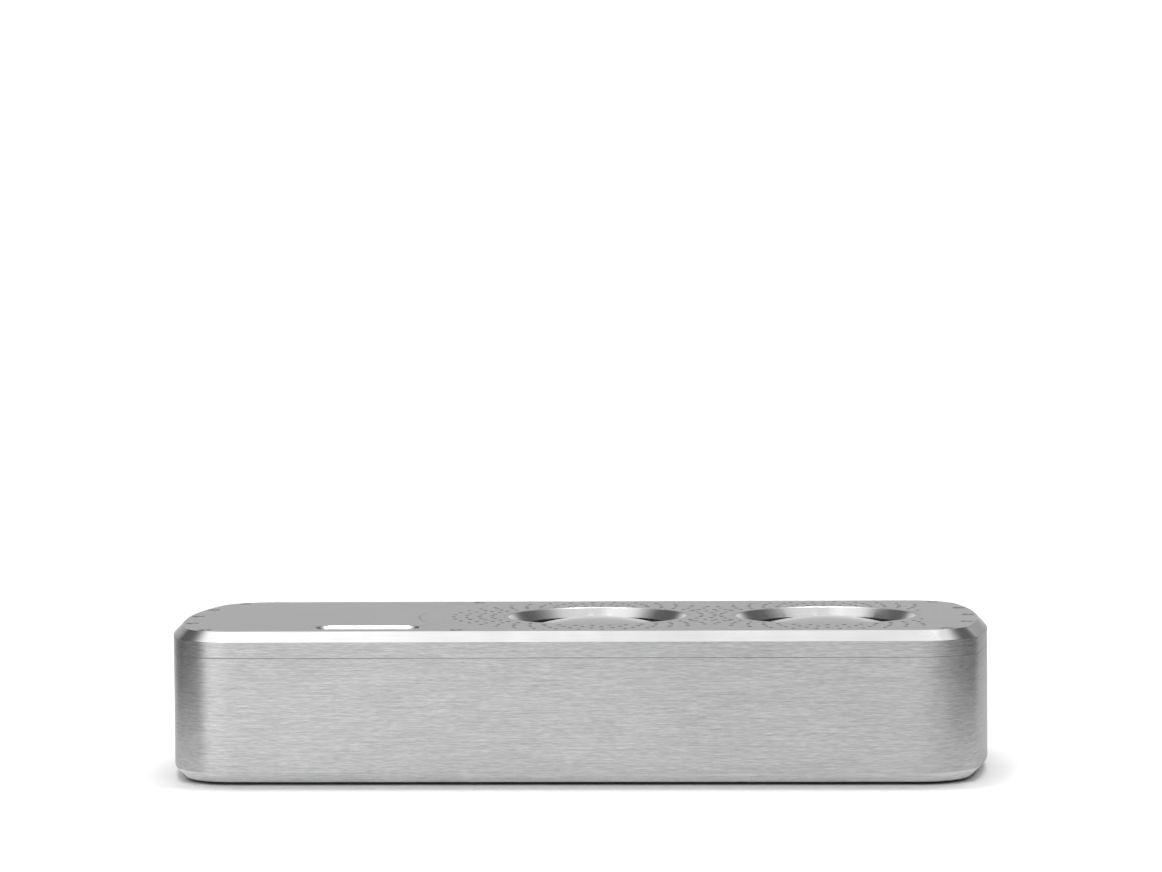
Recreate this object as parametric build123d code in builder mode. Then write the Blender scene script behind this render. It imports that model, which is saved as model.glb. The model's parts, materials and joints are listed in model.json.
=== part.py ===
"""Mini hifi system: a brushed aluminium tub and lid around two up-firing drivers.

Frame: origin on the ground under the middle of the case, +X to the right, the front
faces -Y, +Z up.  Millimetres.
"""
import os
from math import atan2, cos, degrees, hypot, radians, sin, sqrt

from build123d import *

os.makedirs("parts", exist_ok=True)

# ---- case ---------------------------------------------------------------------------
LENGTH = 400.0  # along X, over the bowed ends
DEPTH = 168.0  # along Y
HEIGHT = 72.0  # case only, without the feet
BOW_R = 260.0  # plan radius of the bowed ends
CORNER_R = 30.0  # plan radius where an end meets the front or the back
EDGE_CHAMFER = 4.8  # 45 degree chamfer round the top and the bottom
LID_H = 12.3  # lid, from the seam to the top face
SEAM_GAP = 0.25
LID_WALL = 5.0
TUB_WALL = 6.0
TOP_PLATE = 4.0  # thickness of the lid over the works
TONGUE_H = 1.6  # tub's tongue inside the lid
TONGUE_IN = 3.0  # outside of the case to the lid's step for the tongue
TONGUE_GAP = 0.2
FOOT_H = 1.5  # what shows of a foot below the case
FOOT_R = 12.0
FOOT_SINK = 1.5  # how far a foot sits in its pocket
FOOT_FIT = 0.15
FOOT_CHAMFER = 0.5
FOOT_X, FOOT_Y = 150.0, 52.0

BASE = FOOT_H  # underside of the case
TOP = BASE + HEIGHT  # top face
SEAM = TOP - LID_H  # lower edge of the lid
CEILING = TOP - TOP_PLATE  # underside of the lid's plate

PLATE_T = 2.8  # bottom plate
PLATE_INSET = 7.0
PLATE_FIT = 0.3
LEDGE_T = 3.2  # tub's ledge above the bottom plate
LEDGE_INSET = 14.0
LEDGE_TOP = BASE + PLATE_T + LEDGE_T

# ---- screws -------------------------------------------------------------------------
SCREW_HEAD_R = 3.0  # M3 countersunk
HEAD_FIT = 0.15
SCREW_R = 1.5
SCREW_CLEAR_R = 1.7
SCREW_TAP_R = 1.5
LID_SCREW_INSET = 9.0
LID_SCREW_SIDE_Y = 36.0
LID_SCREW_TURN = 50.0  # corner screws, degrees round the corner
LID_SCREW_SINK = 0.6  # counterbore that drops the heads below the top face
MID_SCREW_X, MID_SCREW_Y = -56.0, 73.0
PLATE_SCREW_X, PLATE_SCREW_Y = (-165.0, -50.0, 150.0), 73.5
BOSS_R = 3.8
BOSS_WEB = 7.0  # web from a middle boss to the wall
TAP_EXTRA = 2.0  # tapped hole beyond the screw's end

LID_SCREW_LEN = 11.5
PLATE_SCREW_LEN = 5.5
BAY_SCREW_LEN = 4.5
HEAD_SINK = 0.1
HEX_R, HEX_DEPTH = 1.15, 1.3
PAN_HEAD_R, PAN_HEAD_T = 2.8, 1.5  # the drivers' screws

# ---- drivers ------------------------------------------------------------------------
DRIVER_X = {"left": 8.0, "right": 121.0}
APERTURE_R = 45.0
RING_BODY_R = 44.8
RING_LIP_R = 46.0
RING_LIP_T = 1.0
RING_FIT = 0.1
RING_MOUTH_R = 44.3
RING_THROAT_R = 41.0
RING_EDGE = 0.3  # bevel between the lip and the dish
RING_FOOT = 0.4  # upright land at the dish's foot
DISH_DEPTH = 5.0  # from the top face to the dome's base plane
DOME_R = 32.0
DOME_RISE = 4.3
DOME_T = 0.6
SURROUND_R = 40.6
SURROUND_LAP = 0.5  # lip of the surround round the dome
SURROUND_GAP = 0.15  # surround's inner face to the dome's rim
LANDING_R = 44.6
COIL_R = 16.0
COIL_T = 0.4
WINDING_T = 0.8
WINDING_FOOT, WINDING_L = 0.5, 8.0
POLE_R = 15.0
GAP_R = 17.6
MAGNET_R = 32.5
MAGNET_T = 12.0
MAGNET_HOLE_R = 21.0
FRONT_PLATE_R = 30.0
FRONT_PLATE_T = 4.0
YOKE_T = 5.0
FLANGE_R = 46.0
FLANGE_T = 2.0
BASKET_T = 2.0
POLE_CLEAR = 1.0  # basket's foot beyond the magnetic gap
EAR_PITCH_R = 50.0
EAR_R = 4.5
DOME_BASE = TOP - DISH_DEPTH
FLANGE_TOP = DOME_BASE - 0.5
MOTOR_TOP = FLANGE_TOP - 18.0  # upper face of the front plate
SPIDER_Z = FLANGE_TOP - 11.5
SPIDER_R = 32.0
SPIDER_T = 0.5
SPIDER_FIT = 0.2
DOME_SPHERE_R = (DOME_R**2 + DOME_RISE**2) / (2 * DOME_RISE)
ROLL_DEPTH = 3.0
MAGNET_FOOT = MOTOR_TOP - FRONT_PLATE_T - MAGNET_T
COIL_FOOT = MOTOR_TOP - 6.5
COIL_HEAD = DOME_BASE + 2.5
CONE_TOP_R, CONE_FOOT_R = 41.0, 28.5
SHELF_R = 33.0
WINDOW_R, WINDOW_COUNT = 40.0, 6  # openings through the basket's cone
WINDOW_W, WINDOW_H, WINDOW_DEPTH = 24.0, 6.5, 20.0
WINDOW_FOOT = 1.5
EAR_T = 1.5
EAR_LAP = 0.5  # how far an ear runs into the flange
EAR_TOP = FLANGE_TOP - FLANGE_T + EAR_T
BAFFLE_HOLE_R = 43.4

# ---- speaker box --------------------------------------------------------------------
BOX_X0, BOX_X1 = -46.0, 178.0
BOX_Y = 68.0
BOX_CORNER_R = 18.0
BOX_WALL = 3.0
BOX_TOP = 61.0
GASKET_T = 1.0
SCREEN_T = 0.3
SCREEN_X0, SCREEN_X1, SCREEN_Y = -67.0, 171.0, 77.0
SCREEN_CORNER_R = 6.0
SCREEN_CLEAR = 1.0

# ---- boards -------------------------------------------------------------------------
BOARD_T = 1.6
BOARD_Z = 12.0
BOARD_TOP = BOARD_Z + BOARD_T
BOARD_CORNER_R = 2.0
BOARD_X, BOARD_L = -120.0, 112.0
MAIN_Y, MAIN_W = -22.0, 84.0
POWER_Y, POWER_W = 41.0, 36.0
POST_R = 3.0
POST_INSET = 4.5
CHIP_L, CHIP_W, CHIP_T = 24.0, 14.0, 3.0
HEAT_SINK_X, HEAT_SINK_Y = -130.0, -36.0
HEAT_SINK_L, HEAT_SINK_W = 64.0, 30.0
SINK_BASE_T = 3.0
FIN_COUNT, FIN_T, FIN_H = 9, 1.6, 20.0
TRANSFORMER_X = -148.0
TRANSFORMER_L, TRANSFORMER_W = 34.0, 28.0
CHEEK_T = 4.0  # end plates of the transformer's bobbin
WINDING_W, WINDING_H, WINDING_CORNER_R = 22.0, 16.0, 6.0
CAPACITOR_X = (-112.0, -90.0)
CAPACITOR_R, CAPACITOR_H, CAPACITOR_EDGE = 8.5, 28.0, 1.2
LEAD_X = -74.0
LEAD_RISE, LEAD_HEAD, LEAD_RUN = 14.0, 24.0, 12.0
LEAD_BEND_R = 9.0
LEAD_Y = {"left": -12.0, "right": -4.0}
LEAD_R = 1.5

# ---- perforations -------------------------------------------------------------------
HOLE_R = 1.15
RING_COUNT = 4
RING_FIRST_R = 52.0
RING_STEP = 6.35
HOLES_PER_RING = 40
HOLE_PITCH_MIN = 3.7
HOLE_RING_GAP = 2.6
HOLE_SCREW_GAP = 7.0
FIELD_Y = 74.6
FIELD_X = 168.0

# ---- control well -------------------------------------------------------------------
WELL_X, WELL_Y = -100.0, -59.5
WELL_L, WELL_W = 52.0, 17.0  # at the top face, over the bevel
WELL_BEVEL = 2.2
WELL_WALL = 1.0
WELL_FIT = 0.1
WELL_FLOOR_TOP = TOP - 8.2
WELL_FLOOR_T = 1.5
WELL_FLANGE = 3.0  # flange under the lid, beyond the well's wall
WELL_FLANGE_T = 1.5
WELL_POST_X, WELL_POST_R = 24.5, 1.6
KEY_TOP = TOP - 2.6
KEY_GAP = 0.35
KEY_T = 3.8
KEY_EDGE = 0.4
KEY_PITCH = 16.0
KEY_SPREAD = 1.5  # the outer keys' outlines run on to the well's ends
STEM_R = 2.5
STEM_FIT = 0.06
STEM_PRESS = 0.1  # a stem's foot above the mat's domes
KEY_BOARD_TOP = 59.2
KEY_BOARD_L, KEY_BOARD_W = 62.0, 22.0
MAT_TOP = 61.4
MAT_L, MAT_W, MAT_T = 44.0, 12.0, 0.6
MAT_DOME_R, MAT_DOME_TAPER = 4.0, 35.0

# ---- indicator pinholes -------------------------------------------------------------
PIN_ARC_R = 88.0
PIN_COUNT = 7
PIN_FIRST, PIN_STEP = 172.0, 4.4
PIN_R = 0.7
PIP_R = 0.6
PIP_SINK = 0.15
GUIDE_W, GUIDE_T = 4.0, 2.5

# ---- connector bay ------------------------------------------------------------------
BAY_X = -98.0
BAY_Z = 31.0  # middle of the bay
BAY_L, BAY_H = 114.0, 34.0
BAY_CORNER_R = 2.0
BAY_DEPTH = 14.0
BAY_WALL = 2.0
BAY_FLOOR_T = 2.5
BAY_FLANGE_X, BAY_FLANGE_Z = 8.0, 4.0  # flange beyond the opening
BAY_FLANGE_T = 2.0
BAY_REBATE = 2.8  # flange sits in a step this deep
BAY_FIT = 0.2
SOCKET_FIT = 0.2
BAY_SCREW_X, BAY_SCREW_Z = 61.8, 13.0
BAY_FLOOR = DEPTH / 2 - BAY_DEPTH  # the face the connectors stand on
REAR_STEP = DEPTH / 2 - BAY_REBATE
MID_BOSS_FOOT = 53.0  # the middle bosses hang clear of the bay

INLET_X = -142.5
INLET_W, INLET_H = 14.6, 7.8  # two-pin mains cavity
INLET_DEPTH = 12.0
INLET_WALL = 2.0
INLET_FLANGE, INLET_FLANGE_T = 4.5, 1.5
INLET_FLANGE_R, INLET_BODY_R = 2.5, 2.8
INLET_PIN_R = 1.15
INLET_PIN_X = 4.3
PIN_SINK = 0.5  # pins' ends behind the bay's panel
SWITCH_X = -120.0
SWITCH_W, SWITCH_H, SWITCH_L = 15.2, 22.0, 12.0
SWITCH_FLANGE, SWITCH_FLANGE_T = 1.5, 1.5
SWITCH_FLANGE_R, SWITCH_BODY_R = 1.5, 0.8
SWITCH_BACK_T = 2.0
ROCKER_HALF_W, ROCKER_HALF_H = 5.6, 8.2
ROCKER_ROOM_X, ROCKER_ROOM_Z = 0.4, 1.3  # clearance round the rocker
ROCKER_MIDDLE, ROCKER_CREST = 3.2, 4.7  # dished face, out from the pivot
ROCKER_EDGE = 1.0
ROCKER_HEEL, ROCKER_HEEL_HALF = 4.0, 3.0
ROCKER_TILT = 8.0  # either side of level
ROCKER_AXLE_R, ROCKER_AXLE_L = 1.2, 1.5
ROCKER_AXLE_FIT = 0.05
ROCKER_Y = BAY_FLOOR - 2.5  # pivot
LINE_IN_X = {"left": -101.5, "right": -88.5}
BARREL_R, BARREL_L, BARREL_EDGE = 4.15, 9.5, 0.4
LINE_BORE_R, LINE_BORE_L = 1.6, 8.0
COLLAR_R, COLLAR_T = 5.75, 1.0
JACK_W, JACK_H = 11.0, 13.0  # a socket's block on the jack board
AUX_X = -76.0
AUX_BORE_R, AUX_BORE_L = 1.8, 14.0
AUX_BODY_R, AUX_PROUD = 3.4, 1.6
AUX_COLLAR_R = 4.6
NETWORK_X = -62.5
NETWORK_W, NETWORK_H, NETWORK_L = 11.8, 8.2, 12.5
NETWORK_WALL, NETWORK_PROUD = 1.5, 0.8
PAIR_X = -50.5
PAIR_R = 2.5
PAIR_PROUD, PAIR_EDGE = 0.8, 0.3
PAIR_FIT = 0.06
PAIR_COLLAR, PAIR_COLLAR_T, PAIR_COLLAR_GAP = 1.2, 1.5, 0.3
PAIR_TAIL = 57.3
JACK_BOARD_FACE = 56.6
JACK_BOARD_X, JACK_BOARD_L, JACK_BOARD_H = -77.0, 61.0, 26.0
JACK_BOARD_CORNER_R = 1.5


def corner_centre():
    """Centre of the plan's right rear corner and of the right-hand bow, (x, y) and x."""
    corner_y = DEPTH / 2 - CORNER_R
    bow_x = LENGTH / 2 - BOW_R
    return bow_x + sqrt((BOW_R - CORNER_R) ** 2 - corner_y**2), corner_y, bow_x


def case_face(inset=0.0):
    """Add the plan of the case, drawn in by inset, to the current sketch."""
    corner_x, corner_y, bow_x = corner_centre()
    lean = degrees(atan2(corner_y, corner_x - bow_x))
    corner = CORNER_R - inset
    half = DEPTH / 2 - inset
    with BuildLine() as outline:
        CenterArc((bow_x, 0), BOW_R - inset, -lean, 2 * lean)
        CenterArc((corner_x, corner_y), corner, lean, 90 - lean)
        Line((corner_x, half), (-corner_x, half))
        CenterArc((-corner_x, corner_y), corner, 90, 90 - lean)
        CenterArc((-bow_x, 0), BOW_R - inset, 180 - lean, 2 * lean)
        CenterArc((-corner_x, -corner_y), corner, 180 + lean, 90 - lean)
        Line((-corner_x, -half), (corner_x, -half))
        CenterArc((corner_x, -corner_y), corner, 270, 90 - lean)
    make_face(outline.edges())


def mid_screw_places():
    return [(MID_SCREW_X, -MID_SCREW_Y), (MID_SCREW_X, MID_SCREW_Y)]


def end_screw_places():
    """Five places round each end of the lid."""
    corner_x, corner_y, bow_x = corner_centre()
    reach = (CORNER_R - LID_SCREW_INSET) * sin(radians(LID_SCREW_TURN))
    out = (CORNER_R - LID_SCREW_INSET) * cos(radians(LID_SCREW_TURN))
    side_x = bow_x + sqrt((BOW_R - LID_SCREW_INSET) ** 2 - LID_SCREW_SIDE_Y**2)
    places = []
    for side in (-1, 1):
        places.append((side * (LENGTH / 2 - LID_SCREW_INSET), 0.0))
        for way in (-1, 1):
            places.append((side * side_x, way * LID_SCREW_SIDE_Y))
            places.append((side * (corner_x + out), way * (corner_y + reach)))
    return places


def lid_screw_places():
    return end_screw_places() + mid_screw_places()


def plate_screw_places():
    return [(x, way * PLATE_SCREW_Y) for x in PLATE_SCREW_X for way in (-1, 1)]


def post_places():
    """Corners of the two boards, where the bottom plate's posts carry them."""
    places = []
    for y, width in ((MAIN_Y, MAIN_W), (POWER_Y, POWER_W)):
        for a in (-1, 1):
            for b in (-1, 1):
                across = BOARD_L / 2 - POST_INSET
                along = width / 2 - POST_INSET
                places.append((BOARD_X + a * across, y + b * along))
    return places


def foot_places():
    return {
        "front_left": (-FOOT_X, -FOOT_Y),
        "front_right": (FOOT_X, -FOOT_Y),
        "rear_left": (-FOOT_X, FOOT_Y),
        "rear_right": (FOOT_X, FOOT_Y),
    }


def perforation_places():
    """Rings of holes round both drivers, thinned where the rings cross."""
    places = []
    centres = list(DRIVER_X.values())
    for ring in range(RING_COUNT):
        radius = RING_FIRST_R + ring * RING_STEP
        for middle in centres:
            for k in range(HOLES_PER_RING):
                turn = radians(360 / HOLES_PER_RING * (k + ring % 2 / 2))
                x, y = middle + radius * cos(turn), radius * sin(turn)
                in_field = abs(y) < FIELD_Y and x < FIELD_X
                off_rings = all(hypot(x - c, y) > RING_LIP_R + HOLE_RING_GAP for c in centres)
                spaced = all(hypot(x - p, y - q) > HOLE_PITCH_MIN for p, q in places)
                off_screw = hypot(x - MID_SCREW_X, abs(y) - MID_SCREW_Y) > HOLE_SCREW_GAP
                if in_field and off_rings and spaced and off_screw:
                    places.append((x, y))
    return places


def pinhole_places():
    turns = [radians(PIN_FIRST + k * PIN_STEP) for k in range(PIN_COUNT)]
    return [(DRIVER_X["left"] + PIN_ARC_R * cos(t), PIN_ARC_R * sin(t)) for t in turns]


def ear_places(middle):
    turns = [radians(45 + 90 * k) for k in range(4)]
    return [(middle + EAR_PITCH_R * cos(t), EAR_PITCH_R * sin(t)) for t in turns]


def key_places():
    return {
        "minus": WELL_X - KEY_PITCH,
        "play": WELL_X,
        "plus": WELL_X + KEY_PITCH,
    }


def rear(y):
    """A plane facing the front at the given Y: local x is X and local y is Z."""
    return Plane.XZ.offset(-y)


def bay_face(grow_x, grow_z):
    """Add the bay's rounded outline, grown by the two margins, to the current sketch."""
    with Locations((BAY_X, BAY_Z)):
        RectangleRounded(
            BAY_L + 2 * grow_x, BAY_H + 2 * grow_z, BAY_CORNER_R + min(grow_x, grow_z)
        )


def bay_screw_places():
    return [
        (BAY_X + a * BAY_SCREW_X, BAY_Z + b * BAY_SCREW_Z) for a in (-1, 1) for b in (-1, 1)
    ]


def box_face(inset=0.0, mode=Mode.ADD):
    """Add the speaker box's rounded plan, drawn in by inset, to the current sketch."""
    with Locations(((BOX_X0 + BOX_X1) / 2, 0)):
        RectangleRounded(
            BOX_X1 - BOX_X0 - 2 * inset, 2 * BOX_Y - 2 * inset, BOX_CORNER_R - inset, mode=mode
        )


def turned(x, inner, outer, low, high):
    """Add a plain ring about a driver's axis to the current part."""
    with BuildSketch(Plane.XY.offset(low)) as ring:
        with Locations((x, 0)):
            Circle(outer)
            if inner > 0:
                Circle(inner, mode=Mode.SUBTRACT)
    extrude(ring.sketch, amount=high - low)


def spun(x, *points):
    """Add the solid that a closed (radius, height) outline sweeps about a driver's axis."""
    with BuildSketch(Plane.XZ) as section:
        with BuildLine():
            Polyline(*[(x + r, z) for r, z in points], close=True)
        make_face()
    revolve(section.sketch, axis=Axis((x, 0, 0), (0, 0, 1)))


def save(item, name):
    item.part.label = name
    export_step(item.part, f"parts/{name}.step")


def countersunk_screws(planes, length, name):
    """Write one countersunk screw on each plane, head up along the plane's normal."""
    with BuildPart() as screws:
        for plane in planes:
            with BuildSketch(plane):
                Circle(SCREW_HEAD_R)
            extrude(amount=-(SCREW_HEAD_R - SCREW_R), taper=45)
            with BuildSketch(plane):
                Circle(SCREW_R)
            extrude(amount=-length)
            with BuildSketch(plane):
                RegularPolygon(HEX_R, 6)
            extrude(amount=-HEX_DEPTH, mode=Mode.SUBTRACT)
    save(screws, name)


# ---- lid ----------------------------------------------------------------------------
with BuildPart() as lid:
    with BuildSketch(Plane.XY.offset(SEAM)):
        case_face()
    extrude(amount=LID_H)
    chamfer(lid.faces().sort_by(Axis.Z)[-1].edges(), EDGE_CHAMFER)
    with BuildSketch(Plane.XY.offset(SEAM)):
        case_face(LID_WALL)
    extrude(amount=CEILING - SEAM, mode=Mode.SUBTRACT)
    with BuildSketch(Plane.XY.offset(SEAM)):
        case_face(TONGUE_IN)
    extrude(amount=TONGUE_H, mode=Mode.SUBTRACT)
    with BuildSketch(Plane.XY.offset(TOP)):
        with Locations(*[(x, 0) for x in DRIVER_X.values()]):
            Circle(APERTURE_R)
        with Locations((WELL_X, WELL_Y)):
            grown = 2 * (WELL_WALL + WELL_FIT)
            SlotOverall(WELL_L + grown, WELL_W + grown)
        with Locations(*perforation_places()):
            Circle(HOLE_R)
        with Locations(*pinhole_places()):
            Circle(PIN_R)
    extrude(amount=-TOP_PLATE, mode=Mode.SUBTRACT)
    with BuildSketch(Plane.XY.offset(TOP)):
        with Locations(*[(x, 0) for x in DRIVER_X.values()]):
            Circle(RING_LIP_R + RING_FIT)
    extrude(amount=-RING_LIP_T, mode=Mode.SUBTRACT)
    with BuildSketch(Plane.XY.offset(TOP)):
        with Locations(*lid_screw_places()):
            Circle(SCREW_HEAD_R + HEAD_FIT)
    extrude(amount=-LID_SCREW_SINK, mode=Mode.SUBTRACT)
    with Locations(*[(x, y, TOP - LID_SCREW_SINK) for x, y in lid_screw_places()]):
        CounterSinkHole(SCREW_CLEAR_R, SCREW_HEAD_R + HEAD_FIT, TOP_PLATE, 90)
save(lid, "lid")

# ---- tub ----------------------------------------------------------------------------
with BuildPart() as case_tub:
    with BuildSketch(Plane.XY.offset(BASE)):
        case_face()
    extrude(amount=SEAM - SEAM_GAP - BASE)
    chamfer(case_tub.faces().sort_by(Axis.Z)[0].edges(), EDGE_CHAMFER)
    with BuildSketch(Plane.XY.offset(SEAM - SEAM_GAP)):
        case_face(TONGUE_IN + TONGUE_GAP)
    extrude(amount=TONGUE_H)
    with BuildSketch(Plane.XY.offset(LEDGE_TOP)):
        case_face(TUB_WALL)
    extrude(amount=SEAM + TONGUE_H - LEDGE_TOP, mode=Mode.SUBTRACT)
    with BuildSketch(Plane.XY.offset(BASE)):
        case_face(PLATE_INSET)
    extrude(amount=PLATE_T, mode=Mode.SUBTRACT)
    with BuildSketch(Plane.XY.offset(BASE)):
        case_face(LEDGE_INSET)
    extrude(amount=PLATE_T + LEDGE_T, mode=Mode.SUBTRACT)
    with BuildSketch(Plane.XY.offset(LEDGE_TOP)):
        with Locations(*end_screw_places()):
            Circle(BOSS_R)
    extrude(amount=CEILING - LEDGE_TOP)
    with BuildSketch(Plane.XY.offset(MID_BOSS_FOOT)):
        with Locations(*mid_screw_places()):
            Circle(BOSS_R)
    extrude(amount=CEILING - MID_BOSS_FOOT)
    with BuildSketch(Plane.XY.offset(MID_BOSS_FOOT)):
        for way in (-1, 1):
            with Locations((MID_SCREW_X, way * (MID_SCREW_Y + BOSS_WEB / 2))):
                Rectangle(2 * BOSS_R, BOSS_WEB)
    extrude(amount=SEAM - SEAM_GAP - MID_BOSS_FOOT)
    with BuildSketch(Plane.XY.offset(CEILING)):
        with Locations(*lid_screw_places()):
            Circle(SCREW_TAP_R)
    extrude(amount=-(LID_SCREW_LEN + TAP_EXTRA - TOP_PLATE), mode=Mode.SUBTRACT)
    with BuildSketch(Plane.XY.offset(BASE + PLATE_T)):
        with Locations(*plate_screw_places()):
            Circle(SCREW_TAP_R)
    extrude(amount=LEDGE_T, mode=Mode.SUBTRACT)
    with BuildSketch(rear(DEPTH / 2)):
        bay_face(BAY_FLANGE_X + BAY_FIT, BAY_FLANGE_Z + BAY_FIT)
    extrude(amount=BAY_REBATE, mode=Mode.SUBTRACT)
    with BuildSketch(rear(DEPTH / 2)):
        bay_face(BAY_WALL + BAY_FIT, BAY_WALL + BAY_FIT)
        with Locations(*bay_screw_places()):
            Circle(SCREW_TAP_R)
    extrude(amount=BAY_DEPTH, mode=Mode.SUBTRACT)
save(case_tub, "case_tub")

# ---- bottom plate and feet ----------------------------------------------------------
with BuildPart() as bottom_plate:
    with BuildSketch(Plane.XY.offset(BASE)):
        case_face(PLATE_INSET + PLATE_FIT)
    extrude(amount=PLATE_T)
    with BuildSketch(Plane.XY.offset(BASE)):
        with Locations(*foot_places().values()):
            Circle(FOOT_R + FOOT_FIT)
    extrude(amount=FOOT_SINK, mode=Mode.SUBTRACT)
    with Locations(*[Plane((x, y, BASE), z_dir=(0, 0, -1)) for x, y in plate_screw_places()]):
        CounterSinkHole(SCREW_CLEAR_R, SCREW_HEAD_R + HEAD_FIT, PLATE_T, 90)
    with BuildSketch(Plane.XY.offset(BASE + PLATE_T)):
        with Locations(*post_places()):
            Circle(POST_R)
    extrude(amount=BOARD_Z - BASE - PLATE_T)
save(bottom_plate, "bottom_plate")

for name, (x, y) in foot_places().items():
    with BuildPart() as foot:
        with BuildSketch():
            with Locations((x, y)):
                Circle(FOOT_R)
        extrude(amount=FOOT_H + FOOT_SINK)
        chamfer(foot.edges().sort_by(Axis.Z)[0], FOOT_CHAMFER)
    save(foot, "foot_" + name)

# ---- screws -------------------------------------------------------------------------
countersunk_screws(
    [Plane((x, y, TOP - LID_SCREW_SINK - HEAD_SINK)) for x, y in lid_screw_places()],
    LID_SCREW_LEN,
    "lid_screws",
)
countersunk_screws(
    [Plane((x, y, BASE + HEAD_SINK), z_dir=(0, 0, -1)) for x, y in plate_screw_places()],
    PLATE_SCREW_LEN,
    "bottom_screws",
)
countersunk_screws(
    [
        Plane((x, REAR_STEP + BAY_FLANGE_T - HEAD_SINK, z), z_dir=(0, 1, 0))
        for x, z in bay_screw_places()
    ],
    BAY_SCREW_LEN,
    "bay_screws",
)

# ---- screen under the perforations --------------------------------------------------
with BuildPart() as dust_screen:
    with BuildSketch(Plane.XY.offset(CEILING - SCREEN_T)):
        with Locations(((SCREEN_X0 + SCREEN_X1) / 2, 0)):
            RectangleRounded(SCREEN_X1 - SCREEN_X0, 2 * SCREEN_Y, SCREEN_CORNER_R)
        with Locations(*[(x, 0) for x in DRIVER_X.values()]):
            Circle(RING_LIP_R + SCREEN_CLEAR, mode=Mode.SUBTRACT)
        with Locations(*mid_screw_places()):
            Circle(BOSS_R + SCREEN_CLEAR, mode=Mode.SUBTRACT)
    extrude(amount=SCREEN_T)
save(dust_screen, "dust_screen")

# ---- speaker box --------------------------------------------------------------------
with BuildPart() as speaker_box:
    with BuildSketch(Plane.XY.offset(BASE + PLATE_T)):
        box_face()
    extrude(amount=BOX_TOP - BASE - PLATE_T)
    with BuildSketch(Plane.XY.offset(BASE + PLATE_T + BOX_WALL)):
        box_face(BOX_WALL)
    extrude(amount=BOX_TOP, mode=Mode.SUBTRACT)
save(speaker_box, "speaker_box")

with BuildPart() as box_gasket:
    with BuildSketch(Plane.XY.offset(BOX_TOP)):
        box_face()
        box_face(BOX_WALL, mode=Mode.SUBTRACT)
    extrude(amount=GASKET_T)
save(box_gasket, "box_gasket")

with BuildPart() as speaker_baffle:
    with BuildSketch(Plane.XY.offset(BOX_TOP + GASKET_T)):
        box_face()
        for x in DRIVER_X.values():
            with Locations((x, 0)):
                Circle(BAFFLE_HOLE_R, mode=Mode.SUBTRACT)
            with Locations(*ear_places(x)):
                Circle(SCREW_TAP_R, mode=Mode.SUBTRACT)
    extrude(amount=FLANGE_TOP - FLANGE_T - BOX_TOP - GASKET_T)
save(speaker_baffle, "speaker_baffle")

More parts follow.
